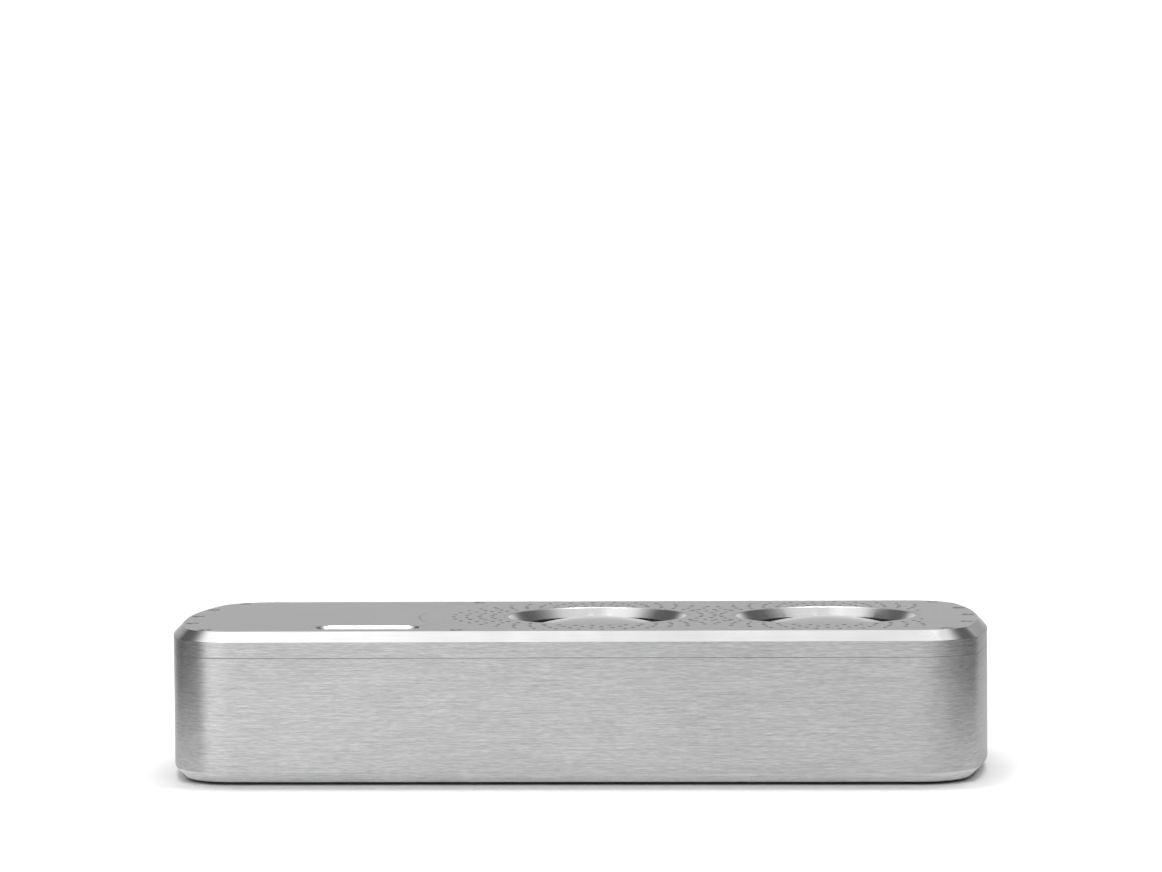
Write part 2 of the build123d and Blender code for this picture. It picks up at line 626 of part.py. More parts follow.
# ---- drivers ------------------------------------------------------------------------
for side, x in DRIVER_X.items():
    with BuildPart() as trim_ring:
        spun(
            x,
            (RING_MOUTH_R + RING_EDGE, TOP),
            (RING_LIP_R, TOP),
            (RING_LIP_R, TOP - RING_LIP_T),
            (RING_BODY_R, TOP - RING_LIP_T),
            (RING_BODY_R, DOME_BASE),
            (RING_THROAT_R, DOME_BASE),
            (RING_THROAT_R, DOME_BASE + RING_FOOT),
            (RING_MOUTH_R, TOP - RING_EDGE),
        )
    save(trim_ring, "trim_ring_" + side)

    with BuildPart() as basket:
        spun(
            x,
            (CONE_TOP_R, FLANGE_TOP),
            (FLANGE_R, FLANGE_TOP),
            (FLANGE_R, FLANGE_TOP - FLANGE_T),
            (CONE_TOP_R + BASKET_T, FLANGE_TOP - FLANGE_T),
            (CONE_FOOT_R + BASKET_T, MOTOR_TOP + BASKET_T),
            (CONE_FOOT_R + BASKET_T, MOTOR_TOP),
            (GAP_R + POLE_CLEAR, MOTOR_TOP),
            (GAP_R + POLE_CLEAR, MOTOR_TOP + BASKET_T),
            (CONE_FOOT_R, MOTOR_TOP + BASKET_T),
            (CONE_FOOT_R, SPIDER_Z),
            (SHELF_R, SPIDER_Z),
            (CONE_TOP_R, FLANGE_TOP - FLANGE_T),
        )
        with BuildSketch(Plane.XY.offset(SPIDER_Z + WINDOW_FOOT)):
            with Locations((x, 0)):
                with PolarLocations(WINDOW_R, WINDOW_COUNT):
                    Rectangle(WINDOW_DEPTH, WINDOW_W)
        extrude(amount=WINDOW_H, mode=Mode.SUBTRACT)
        with BuildSketch(Plane.XY.offset(FLANGE_TOP - FLANGE_T)):
            with Locations(*ear_places(x)):
                Circle(EAR_R)
            with Locations((x, 0)):
                Circle(FLANGE_R - EAR_LAP, mode=Mode.SUBTRACT)
            with Locations(*ear_places(x)):
                Circle(SCREW_CLEAR_R, mode=Mode.SUBTRACT)
        extrude(amount=EAR_T)
    save(basket, "basket_" + side)

    with BuildPart() as front_plate:
        turned(x, GAP_R, FRONT_PLATE_R, MOTOR_TOP - FRONT_PLATE_T, MOTOR_TOP)
    save(front_plate, "front_plate_" + side)

    with BuildPart() as magnet:
        turned(x, MAGNET_HOLE_R, MAGNET_R, MAGNET_FOOT, MAGNET_FOOT + MAGNET_T)
    save(magnet, "magnet_" + side)

    with BuildPart() as yoke:
        turned(x, 0, FRONT_PLATE_R, MAGNET_FOOT - YOKE_T, MAGNET_FOOT)
        turned(x, 0, POLE_R, MAGNET_FOOT, MOTOR_TOP)
    save(yoke, "yoke_" + side)

    with BuildPart() as voice_coil:
        turned(x, COIL_R, COIL_R + COIL_T, COIL_FOOT, COIL_HEAD)
        winding_foot = COIL_FOOT + WINDING_FOOT
        turned(x, COIL_R, COIL_R + COIL_T + WINDING_T, winding_foot, winding_foot + WINDING_L)
    save(voice_coil, "voice_coil_" + side)

    with BuildPart() as spider:
        turned(x, COIL_R + COIL_T + SPIDER_FIT, SPIDER_R, SPIDER_Z, SPIDER_Z + SPIDER_T)
    save(spider, "spider_" + side)

    with BuildPart() as surround:
        roll_x = x + (SURROUND_R + DOME_R + SURROUND_LAP) / 2
        inner_x = x + DOME_R + SURROUND_GAP
        with BuildSketch(Plane.XZ):
            with BuildLine() as outline:
                Line((x + LANDING_R, FLANGE_TOP), (x + LANDING_R, DOME_BASE))
                Line((x + LANDING_R, DOME_BASE), (x + SURROUND_R, DOME_BASE))
                ThreePointArc(
                    (x + SURROUND_R, DOME_BASE),
                    (roll_x, DOME_BASE - ROLL_DEPTH),
                    (x + DOME_R + SURROUND_LAP, DOME_BASE),
                )
                Line((x + DOME_R + SURROUND_LAP, DOME_BASE), (inner_x, DOME_BASE))
                Line((inner_x, DOME_BASE), (inner_x, FLANGE_TOP))
                ThreePointArc(
                    (inner_x, FLANGE_TOP),
                    (roll_x, FLANGE_TOP - ROLL_DEPTH),
                    (x + CONE_TOP_R, FLANGE_TOP),
                )
                Line((x + CONE_TOP_R, FLANGE_TOP), (x + LANDING_R, FLANGE_TOP))
            make_face(outline.edges())
        revolve(axis=Axis((x, 0, 0), (0, 0, 1)))
    save(surround, "surround_" + side)

    with BuildPart() as dome:
        with BuildSketch(Plane.XZ):
            with BuildLine() as outline:
                RadiusArc((x, DOME_BASE + DOME_RISE), (x + DOME_R, DOME_BASE), DOME_SPHERE_R)
                Line((x + DOME_R, DOME_BASE), (x + DOME_R, DOME_BASE - DOME_T))
                RadiusArc(
                    (x + DOME_R, DOME_BASE - DOME_T),
                    (x, DOME_BASE - DOME_T + DOME_RISE),
                    -DOME_SPHERE_R,
                )
                Line((x, DOME_BASE - DOME_T + DOME_RISE), (x, DOME_BASE + DOME_RISE))
            make_face(outline.edges())
        revolve(axis=Axis((x, 0, 0), (0, 0, 1)))
    save(dome, "dome_" + side)

with BuildPart() as driver_screws:
    ears = ear_places(DRIVER_X["left"]) + ear_places(DRIVER_X["right"])
    with BuildSketch(Plane.XY.offset(EAR_TOP)):
        with Locations(*ears):
            Circle(PAN_HEAD_R)
    extrude(amount=PAN_HEAD_T)
    with BuildSketch(Plane.XY.offset(BOX_TOP + GASKET_T)):
        with Locations(*ears):
            Circle(SCREW_R)
    extrude(amount=EAR_TOP - BOX_TOP - GASKET_T)
save(driver_screws, "driver_screws")

# ---- control well and its keys ------------------------------------------------------
with BuildPart() as key_well:
    with BuildSketch(Plane.XY.offset(WELL_FLOOR_TOP - WELL_FLOOR_T)):
        with Locations((WELL_X, WELL_Y)):
            SlotOverall(WELL_L + 2 * WELL_WALL, WELL_W + 2 * WELL_WALL)
    extrude(amount=TOP - WELL_FLOOR_TOP + WELL_FLOOR_T)
    with BuildSketch(Plane.XY.offset(CEILING - WELL_FLANGE_T)):
        with Locations((WELL_X, WELL_Y)):
            flange = 2 * (WELL_WALL + WELL_FLANGE)
            SlotOverall(WELL_L + flange, WELL_W + flange)
    extrude(amount=WELL_FLANGE_T)
    with BuildSketch(Plane.XY.offset(TOP)):
        with Locations((WELL_X, WELL_Y)):
            SlotOverall(WELL_L, WELL_W)
    extrude(amount=-WELL_BEVEL, taper=45, mode=Mode.SUBTRACT)
    with BuildSketch(Plane.XY.offset(WELL_FLOOR_TOP)):
        with Locations((WELL_X, WELL_Y)):
            SlotOverall(WELL_L - 2 * WELL_BEVEL, WELL_W - 2 * WELL_BEVEL)
    extrude(amount=TOP - WELL_FLOOR_TOP, mode=Mode.SUBTRACT)
    with BuildSketch(Plane.XY.offset(WELL_FLOOR_TOP)):
        with Locations(*[(x, WELL_Y) for x in key_places().values()]):
            Circle(STEM_R + STEM_FIT)
    extrude(amount=-WELL_FLOOR_T, mode=Mode.SUBTRACT)
    with BuildSketch(Plane.XY.offset(KEY_BOARD_TOP)):
        with Locations((WELL_X - WELL_POST_X, WELL_Y), (WELL_X + WELL_POST_X, WELL_Y)):
            Circle(WELL_POST_R)
    extrude(amount=WELL_FLOOR_TOP - WELL_FLOOR_T - KEY_BOARD_TOP)
save(key_well, "key_well")

for name, x in key_places().items():
    with BuildPart() as key:
        with BuildSketch(Plane.XY.offset(KEY_TOP - KEY_T)):
            with Locations((WELL_X, WELL_Y)):
                around = 2 * (WELL_BEVEL + KEY_GAP)
                SlotOverall(WELL_L - around, WELL_W - around)
            with Locations((WELL_X + (x - WELL_X) * KEY_SPREAD, WELL_Y)):
                width = KEY_PITCH + abs(x - WELL_X) - KEY_GAP
                Rectangle(width, WELL_W, mode=Mode.INTERSECT)
        extrude(amount=KEY_T)
        chamfer(key.faces().sort_by(Axis.Z)[-1].edges(), KEY_EDGE)
        with BuildSketch(Plane.XY.offset(KEY_TOP - KEY_T)):
            with Locations((x, WELL_Y)):
                Circle(STEM_R)
        extrude(amount=MAT_TOP + STEM_PRESS - KEY_TOP + KEY_T)
    save(key, "key_" + name)

with BuildPart() as key_mat:
    with BuildSketch(Plane.XY.offset(KEY_BOARD_TOP)):
        with Locations((WELL_X, WELL_Y)):
            RectangleRounded(MAT_L, MAT_W, BOARD_CORNER_R)
    extrude(amount=MAT_T)
    for x in key_places().values():
        with BuildSketch(Plane.XY.offset(KEY_BOARD_TOP + MAT_T)):
            with Locations((x, WELL_Y)):
                Circle(MAT_DOME_R)
        extrude(amount=MAT_TOP - KEY_BOARD_TOP - MAT_T, taper=MAT_DOME_TAPER)
save(key_mat, "key_mat")

with BuildPart() as key_board:
    with BuildSketch(Plane.XY.offset(KEY_BOARD_TOP - BOARD_T)):
        with Locations((WELL_X, WELL_Y)):
            RectangleRounded(KEY_BOARD_L, KEY_BOARD_W, BOARD_CORNER_R)
    extrude(amount=BOARD_T)
save(key_board, "key_board")

with BuildPart() as light_guide:
    with BuildSketch(Plane.XY.offset(CEILING - GUIDE_T)):
        with BuildLine() as centre:
            CenterArc((DRIVER_X["left"], 0), PIN_ARC_R, PIN_FIRST, PIN_STEP * (PIN_COUNT - 1))
        SlotArc(centre.edge(), GUIDE_W)
    extrude(amount=GUIDE_T)
    with BuildSketch(Plane.XY.offset(CEILING)):
        with Locations(*pinhole_places()):
            Circle(PIP_R)
    extrude(amount=TOP_PLATE - PIP_SINK)
save(light_guide, "light_guide")

# ---- boards and what stands on them -------------------------------------------------
for name, y, width in (("main_board", MAIN_Y, MAIN_W), ("power_board", POWER_Y, POWER_W)):
    with BuildPart() as board:
        with BuildSketch(Plane.XY.offset(BOARD_Z)):
            with Locations((BOARD_X, y)):
                RectangleRounded(BOARD_L, width, BOARD_CORNER_R)
        extrude(amount=BOARD_T)
    save(board, name)

with BuildPart() as amplifier_chip:
    with BuildSketch(Plane.XY.offset(BOARD_TOP)):
        with Locations((HEAT_SINK_X, HEAT_SINK_Y)):
            Rectangle(CHIP_L, CHIP_W)
    extrude(amount=CHIP_T)
save(amplifier_chip, "amplifier_chip")

with BuildPart() as heat_sink:
    with BuildSketch(Plane.XY.offset(BOARD_TOP + CHIP_T)):
        with Locations((HEAT_SINK_X, HEAT_SINK_Y)):
            Rectangle(HEAT_SINK_L, HEAT_SINK_W)
    extrude(amount=SINK_BASE_T)
    with BuildSketch(Plane.XY.offset(BOARD_TOP + CHIP_T + SINK_BASE_T)):
        with Locations((HEAT_SINK_X, HEAT_SINK_Y)):
            with GridLocations(HEAT_SINK_L / FIN_COUNT, 1, FIN_COUNT, 1):
                Rectangle(FIN_T, HEAT_SINK_W)
    extrude(amount=FIN_H)
save(heat_sink, "heat_sink")

with BuildPart() as transformer:
    for foot in (BOARD_TOP, BOARD_TOP + CHEEK_T + WINDING_H):
        with BuildSketch(Plane.XY.offset(foot)):
            with Locations((TRANSFORMER_X, POWER_Y)):
                RectangleRounded(TRANSFORMER_L, TRANSFORMER_W, BOARD_CORNER_R)
        extrude(amount=CHEEK_T)
    with BuildSketch(Plane.XY.offset(BOARD_TOP + CHEEK_T)):
        with Locations((TRANSFORMER_X, POWER_Y)):
            RectangleRounded(WINDING_W, TRANSFORMER_W, WINDING_CORNER_R)
    extrude(amount=WINDING_H)
save(transformer, "transformer")

with BuildPart() as supply_capacitors:
    with BuildSketch(Plane.XY.offset(BOARD_TOP)):
        with Locations(*[(x, POWER_Y) for x in CAPACITOR_X]):
            Circle(CAPACITOR_R)
    extrude(amount=CAPACITOR_H)
    fillet(supply_capacitors.faces().sort_by(Axis.Z)[-2:].edges(), CAPACITOR_EDGE)
save(supply_capacitors, "supply_capacitors")

for side, y in LEAD_Y.items():
    with BuildPart() as speaker_lead:
        with BuildLine() as route:
            FilletPolyline(
                (LEAD_X, y, BOARD_TOP),
                (LEAD_X, y, BOARD_TOP + LEAD_RISE),
                (LEAD_X + LEAD_RUN, y, BOARD_TOP + LEAD_HEAD),
                (BOX_X0, y, BOARD_TOP + LEAD_HEAD),
                radius=LEAD_BEND_R,
            )
        with BuildSketch(Plane((LEAD_X, y, BOARD_TOP))):
            Circle(LEAD_R)
        sweep(path=route.wire())
    save(speaker_lead, "speaker_lead_" + side)

# ---- connector bay ------------------------------------------------------------------
with BuildPart() as connector_bay:
    with BuildSketch(rear(REAR_STEP + BAY_FLANGE_T)):
        bay_face(BAY_FLANGE_X, BAY_FLANGE_Z)
    extrude(amount=BAY_FLANGE_T)
    with BuildSketch(rear(REAR_STEP)):
        bay_face(BAY_WALL, BAY_WALL)
    extrude(amount=REAR_STEP - BAY_FLOOR)
    with BuildSketch(rear(REAR_STEP + BAY_FLANGE_T)):
        bay_face(0, 0)
    extrude(amount=REAR_STEP + BAY_FLANGE_T - BAY_FLOOR, mode=Mode.SUBTRACT)
    with Locations(
        *[
            Plane((x, REAR_STEP + BAY_FLANGE_T, z), z_dir=(0, 1, 0))
            for x, z in bay_screw_places()
        ]
    ):
        CounterSinkHole(SCREW_CLEAR_R, SCREW_HEAD_R + HEAD_FIT, BAY_FLANGE_T, 90)
save(connector_bay, "connector_bay")

with BuildPart() as bay_panel:
    with BuildSketch(rear(BAY_FLOOR)):
        bay_face(BAY_WALL, BAY_WALL)
        with Locations((INLET_X, BAY_Z)):
            around = 2 * (INLET_WALL + SOCKET_FIT)
            Rectangle(INLET_W + around, INLET_H + around, mode=Mode.SUBTRACT)
        with Locations((SWITCH_X, BAY_Z)):
            Rectangle(
                SWITCH_W + 2 * SOCKET_FIT, SWITCH_H + 2 * SOCKET_FIT, mode=Mode.SUBTRACT
            )
        with Locations(*[(x, BAY_Z) for x in LINE_IN_X.values()]):
            Circle(BARREL_R + SOCKET_FIT, mode=Mode.SUBTRACT)
        with Locations((AUX_X, BAY_Z)):
            Circle(AUX_BODY_R + SOCKET_FIT, mode=Mode.SUBTRACT)
        with Locations((NETWORK_X, BAY_Z)):
            around = 2 * (NETWORK_WALL + SOCKET_FIT)
            Rectangle(NETWORK_W + around, NETWORK_H + around, mode=Mode.SUBTRACT)
        with Locations((PAIR_X, BAY_Z)):
            Circle(PAIR_R + PAIR_FIT, mode=Mode.SUBTRACT)
    extrude(amount=BAY_FLOOR_T)
save(bay_panel, "bay_panel")

with BuildPart() as mains_inlet:
    with BuildSketch(rear(BAY_FLOOR + INLET_FLANGE_T)):
        with Locations((INLET_X, BAY_Z)):
            RectangleRounded(
                INLET_W + 2 * INLET_FLANGE, INLET_H + 2 * INLET_FLANGE, INLET_FLANGE_R
            )
    extrude(amount=INLET_FLANGE_T)
    with BuildSketch(rear(BAY_FLOOR)):
        with Locations((INLET_X, BAY_Z)):
            RectangleRounded(INLET_W + 2 * INLET_WALL, INLET_H + 2 * INLET_WALL, INLET_BODY_R)
    extrude(amount=INLET_DEPTH + INLET_WALL)
    with BuildSketch(rear(BAY_FLOOR + INLET_FLANGE_T)):
        with Locations((INLET_X, BAY_Z)):
            SlotOverall(INLET_W, INLET_H)
    extrude(amount=INLET_DEPTH, mode=Mode.SUBTRACT)
save(mains_inlet, "mains_inlet")

with BuildPart() as mains_pins:
    with BuildSketch(rear(BAY_FLOOR - PIN_SINK)):
        with Locations((INLET_X - INLET_PIN_X, BAY_Z), (INLET_X + INLET_PIN_X, BAY_Z)):
            Circle(INLET_PIN_R)
    extrude(amount=INLET_DEPTH - INLET_FLANGE_T - PIN_SINK)
    chamfer(mains_pins.faces().sort_by(Axis.Y)[-2:].edges(), BARREL_EDGE)
save(mains_pins, "mains_pins")

with BuildPart() as switch_housing:
    with BuildSketch(rear(BAY_FLOOR + SWITCH_FLANGE_T)):
        with Locations((SWITCH_X, BAY_Z)):
            RectangleRounded(
                SWITCH_W + 2 * SWITCH_FLANGE, SWITCH_H + 2 * SWITCH_FLANGE, SWITCH_FLANGE_R
            )
    extrude(amount=SWITCH_FLANGE_T)
    with BuildSketch(rear(BAY_FLOOR)):
        with Locations((SWITCH_X, BAY_Z)):
            RectangleRounded(SWITCH_W, SWITCH_H, SWITCH_BODY_R)
    extrude(amount=SWITCH_L)
    with BuildSketch(rear(BAY_FLOOR + SWITCH_FLANGE_T)):
        with Locations((SWITCH_X, BAY_Z)):
            Rectangle(2 * (ROCKER_HALF_W + ROCKER_ROOM_X), 2 * (ROCKER_HALF_H + ROCKER_ROOM_Z))
    extrude(amount=SWITCH_FLANGE_T + SWITCH_L - SWITCH_BACK_T, mode=Mode.SUBTRACT)
    with BuildSketch(Plane.YZ.offset(SWITCH_X - SWITCH_W / 2)):
        with Locations((ROCKER_Y, BAY_Z)):
            Circle(ROCKER_AXLE_R + ROCKER_AXLE_FIT)
    extrude(amount=SWITCH_W, mode=Mode.SUBTRACT)
save(switch_housing, "switch_housing")

with BuildPart() as power_rocker:
    with BuildSketch(Plane.YZ.offset(SWITCH_X - ROCKER_HALF_W)):
        with Locations(Location((ROCKER_Y, BAY_Z), ROCKER_TILT)):
            Polygon(
                (ROCKER_MIDDLE, 0),
                (ROCKER_CREST, ROCKER_HALF_H),
                (-ROCKER_EDGE, ROCKER_HALF_H),
                (-ROCKER_HEEL, ROCKER_HEEL_HALF),
                (-ROCKER_HEEL, -ROCKER_HEEL_HALF),
                (-ROCKER_EDGE, -ROCKER_HALF_H),
                (ROCKER_CREST, -ROCKER_HALF_H),
                align=None,
            )
    extrude(amount=2 * ROCKER_HALF_W)
    with BuildSketch(Plane.YZ.offset(SWITCH_X - ROCKER_HALF_W - ROCKER_AXLE_L)):
        with Locations((ROCKER_Y, BAY_Z)):
            Circle(ROCKER_AXLE_R)
    extrude(amount=2 * (ROCKER_HALF_W + ROCKER_AXLE_L))
save(power_rocker, "power_rocker")

for side, x in LINE_IN_X.items():
    with BuildPart() as line_in:
        with BuildSketch(rear(BAY_FLOOR + BARREL_L)):
            with Locations((x, BAY_Z)):
                Circle(BARREL_R)
        extrude(amount=BARREL_L + BAY_FLOOR - JACK_BOARD_FACE)
        chamfer(line_in.faces().sort_by(Axis.Y)[-1].edges(), BARREL_EDGE)
        with BuildSketch(rear(BAY_FLOOR + COLLAR_T)):
            with Locations((x, BAY_Z)):
                Circle(COLLAR_R)
        extrude(amount=COLLAR_T)
        with BuildSketch(rear(BAY_FLOOR - BAY_FLOOR_T)):
            with Locations((x, BAY_Z)):
                Rectangle(JACK_W, JACK_H)
        extrude(amount=BAY_FLOOR - BAY_FLOOR_T - JACK_BOARD_FACE)
        with BuildSketch(rear(BAY_FLOOR + BARREL_L)):
            with Locations((x, BAY_Z)):
                Circle(LINE_BORE_R)
        extrude(amount=LINE_BORE_L, mode=Mode.SUBTRACT)
    save(line_in, "line_in_" + side)

with BuildPart() as aux_socket:
    with BuildSketch(rear(BAY_FLOOR - BAY_FLOOR_T)):
        with Locations((AUX_X, BAY_Z)):
            Rectangle(JACK_W, JACK_H)
    extrude(amount=BAY_FLOOR - BAY_FLOOR_T - JACK_BOARD_FACE)
    with BuildSketch(rear(BAY_FLOOR + AUX_PROUD)):
        with Locations((AUX_X, BAY_Z)):
            Circle(AUX_BODY_R)
    extrude(amount=BAY_FLOOR_T + AUX_PROUD)
    with BuildSketch(rear(BAY_FLOOR + COLLAR_T)):
        with Locations((AUX_X, BAY_Z)):
            Circle(AUX_COLLAR_R)
    extrude(amount=COLLAR_T)
    with BuildSketch(rear(BAY_FLOOR + AUX_PROUD)):
        with Locations((AUX_X, BAY_Z)):
            Circle(AUX_BORE_R)
    extrude(amount=AUX_BORE_L, mode=Mode.SUBTRACT)
save(aux_socket, "aux_socket")

with BuildPart() as network_socket:
    with BuildSketch(rear(BAY_FLOOR + NETWORK_PROUD)):
        with Locations((NETWORK_X, BAY_Z)):
            Rectangle(NETWORK_W + 2 * NETWORK_WALL, NETWORK_H + 2 * NETWORK_WALL)
    extrude(amount=BAY_FLOOR + NETWORK_PROUD - JACK_BOARD_FACE)
    with BuildSketch(rear(BAY_FLOOR + NETWORK_PROUD)):
        with Locations((NETWORK_X, BAY_Z)):
            Rectangle(NETWORK_W, NETWORK_H)
    extrude(amount=NETWORK_L, mode=Mode.SUBTRACT)
save(network_socket, "network_socket")

with BuildPart() as pair_button:
    with BuildSketch(rear(BAY_FLOOR + PAIR_PROUD)):
        with Locations((PAIR_X, BAY_Z)):
            Circle(PAIR_R)
    extrude(amount=BAY_FLOOR + PAIR_PROUD - PAIR_TAIL)
    chamfer(pair_button.faces().sort_by(Axis.Y)[-1].edges(), PAIR_EDGE)
    with BuildSketch(rear(BAY_FLOOR - BAY_FLOOR_T - PAIR_COLLAR_GAP)):
        with Locations((PAIR_X, BAY_Z)):
            Circle(PAIR_R + PAIR_COLLAR)
    extrude(amount=PAIR_COLLAR_T)
save(pair_button, "pair_button")

with BuildPart() as jack_board:
    with BuildSketch(rear(JACK_BOARD_FACE)):
        with Locations((JACK_BOARD_X, BAY_Z)):
            RectangleRounded(JACK_BOARD_L, JACK_BOARD_H, JACK_BOARD_CORNER_R)
    extrude(amount=BOARD_T)
save(jack_board, "jack_board")
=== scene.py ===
import json
from math import atan2, cos, hypot, pi, radians, sin, sqrt

import bmesh
import bpy
from mathutils import Matrix, Vector
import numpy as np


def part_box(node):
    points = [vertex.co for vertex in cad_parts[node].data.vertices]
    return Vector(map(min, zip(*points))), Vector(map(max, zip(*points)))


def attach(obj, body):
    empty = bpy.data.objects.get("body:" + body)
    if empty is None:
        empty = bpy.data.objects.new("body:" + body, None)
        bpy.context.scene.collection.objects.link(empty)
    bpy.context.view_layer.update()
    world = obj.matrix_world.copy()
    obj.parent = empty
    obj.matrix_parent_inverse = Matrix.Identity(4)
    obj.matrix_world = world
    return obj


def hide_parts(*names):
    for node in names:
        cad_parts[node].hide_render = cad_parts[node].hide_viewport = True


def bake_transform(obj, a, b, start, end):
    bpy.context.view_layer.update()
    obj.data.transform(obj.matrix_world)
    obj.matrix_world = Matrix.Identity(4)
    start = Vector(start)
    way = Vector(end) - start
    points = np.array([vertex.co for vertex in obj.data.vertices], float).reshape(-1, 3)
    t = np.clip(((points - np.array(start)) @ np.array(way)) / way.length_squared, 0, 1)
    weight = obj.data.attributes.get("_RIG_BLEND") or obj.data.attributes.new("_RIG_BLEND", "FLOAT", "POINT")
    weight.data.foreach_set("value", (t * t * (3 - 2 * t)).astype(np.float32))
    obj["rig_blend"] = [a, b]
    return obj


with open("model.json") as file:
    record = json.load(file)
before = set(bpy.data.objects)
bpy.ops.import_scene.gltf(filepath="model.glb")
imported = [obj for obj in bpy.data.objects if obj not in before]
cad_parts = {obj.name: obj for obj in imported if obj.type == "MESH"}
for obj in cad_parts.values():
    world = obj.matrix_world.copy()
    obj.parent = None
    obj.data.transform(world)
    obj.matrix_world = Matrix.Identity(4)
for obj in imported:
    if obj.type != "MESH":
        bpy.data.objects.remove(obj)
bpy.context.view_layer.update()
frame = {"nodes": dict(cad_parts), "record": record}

MM = 0.001

# ---- sizes, from the frame where it has them ----------------------------------------
LID_LOW, LID_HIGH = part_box("lid")
TOP = LID_HIGH.z
SEAM = LID_LOW.z
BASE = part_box("case_tub")[0].z
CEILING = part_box("dust_screen")[1].z
HALF_Y = LID_HIGH.y
HALF_X = 200.0 * MM
BOW_R = 260.0 * MM
CORNER_R = 30.0 * MM
EDGE_CHAMFER = 4.8 * MM
EDGE_EASE = 0.12 * MM  # how far a machined edge is eased
LID_WALL = 5.0 * MM
LID_STEP = 3.0 * MM  # outside of the case to the lid's step for the tongue
TUB_WALL = 6.0 * MM
VISIBLE_GAP = 0.12 * MM
TONGUE_H = 1.6 * MM
TONGUE_INSET = 3.2 * MM
PLATE_TOP = BASE + 2.8 * MM
LEDGE_TOP = BASE + 6.0 * MM
PLATE_INSET = 7.0 * MM
LEDGE_INSET = 14.0 * MM
CUT_OVER = 1.0 * MM  # how far a cutter passes the faces that it cuts
FIT = 0.2 * MM  # room round a part that sits in an opening


def middle(node):
    low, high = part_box(node)
    return (low + high) / 2


DRIVERS = {side: middle("trim_ring_" + side) for side in ("left", "right")}
APERTURE_R = 45.0 * MM
RING_LIP_R = 46.0 * MM
RING_LIP_T = 1.0 * MM
RING_BODY_R = 44.8 * MM
RING_MOUTH_R = 44.3 * MM
RING_THROAT_R = 41.0 * MM
RING_BEVEL = 0.3 * MM
RING_FOOT = 0.4 * MM
DISH_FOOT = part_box("trim_ring_left")[0].z
DOME_R = 32.0 * MM
DOME_RISE = 4.3 * MM
DOME_T = 0.6 * MM
ROLL_IN_R, ROLL_OUT_R, ROLL_LANDING_R = 31.2 * MM, 40.6 * MM, 44.6 * MM
ROLL_T = 0.5 * MM
ROLL_LAP = 1.2 * MM  # flat edge of the surround on the dome

# ---- mesh helpers -------------------------------------------------------------------


def soften(points, radius, steps=3, closed=False):
    """Round the corners of a 2-D outline with short arcs of about the given radius."""
    out = []
    count = len(points)
    for k, here in enumerate(points):
        here = Vector(here)
        if not closed and k in (0, count - 1):
            out.append(here)
            continue
        before, after = Vector(points[k - 1]), Vector(points[(k + 1) % count])
        to_before, to_after = before - here, after - here
        reach = min(radius, to_before.length * 0.45, to_after.length * 0.45)
        start = here + to_before.normalized() * reach
        end = here + to_after.normalized() * reach
        for j in range(steps + 1):
            t = j / steps
            out.append(start * (1 - t) ** 2 + here * 2 * t * (1 - t) + end * t**2)
    return out


def plan_centres():
    """Centre of the right-hand bow along X, and the centre of the corner that joins it."""
    corner_y = HALF_Y - CORNER_R
    bow_x = HALF_X - BOW_R
    return bow_x, bow_x + sqrt((BOW_R - CORNER_R) ** 2 - corner_y**2), corner_y


def plan(inset, corner_steps=26, bow_steps=56):
    """The plan outline of the case, drawn in by inset, counter-clockwise from the right."""
    bow_x, corner_x, corner_y = plan_centres()
    lean = atan2(corner_y, corner_x - bow_x)
    arcs = (
        (bow_x, 0, BOW_R, -lean, lean, bow_steps),
        (corner_x, corner_y, CORNER_R, lean, pi / 2, corner_steps),
        (-corner_x, corner_y, CORNER_R, pi / 2, pi - lean, corner_steps),
        (-bow_x, 0, BOW_R, pi - lean, pi + lean, bow_steps),
        (-corner_x, -corner_y, CORNER_R, pi + lean, 1.5 * pi, corner_steps),
        (corner_x, -corner_y, CORNER_R, 1.5 * pi, 2 * pi - lean, corner_steps),
    )
    points = []
    for x, y, radius, start, end, steps in arcs:
        for k in range(steps):
            turn = start + (end - start) * k / steps
            points.append((x + (radius - inset) * cos(turn), y + (radius - inset) * sin(turn)))
        if end in (pi / 2, 1.5 * pi):
            points.append((x, y + (radius - inset) * sin(end)))
    return points


def new_object(name, mesh_data):
    piece = bpy.data.objects.new(name, mesh_data)
    bpy.context.scene.collection.objects.link(piece)
    return piece


def shade(bm, sharp):
    """Smooth shading, except at edges sharper than so many degrees."""
    for face in bm.faces:
        face.smooth = True
    for edge in bm.edges:
        if len(edge.link_faces) == 2:
            edge.smooth = edge.calc_face_angle(0) < radians(sharp)


def finish_mesh(name, bm, sharp=6.0):
    """Write a bmesh to a new object and shade it."""
    bmesh.ops.recalc_face_normals(bm, faces=bm.faces)
    shade(bm, sharp)
    mesh_data = bpy.data.meshes.new(name)
    bm.to_mesh(mesh_data)
    bm.free()
    return new_object(name, mesh_data)


def add_rings(bm, rings, close_rows=False, cap_first=False, cap_last=False):
    """Join rows of points with quads; a row may be a single point."""
    rows = [[bm.verts.new(p) for p in ring] for ring in rings]
    pairs = list(zip(rows, rows[1:]))
    if close_rows:
        pairs.append((rows[-1], rows[0]))
    for lower, upper in pairs:
        count = max(len(lower), len(upper))
        for k in range(count):
            n = (k + 1) % count
            if len(lower) == 1:
                bm.faces.new((lower[0], upper[n], upper[k]))
            elif len(upper) == 1:
                bm.faces.new((lower[k], lower[n], upper[0]))
            else:
                bm.faces.new((lower[k], lower[n], upper[n], upper[k]))
    if cap_first:
        bm.faces.new(rows[0][::-1])
    if cap_last:
        bm.faces.new(rows[-1])
    return rows


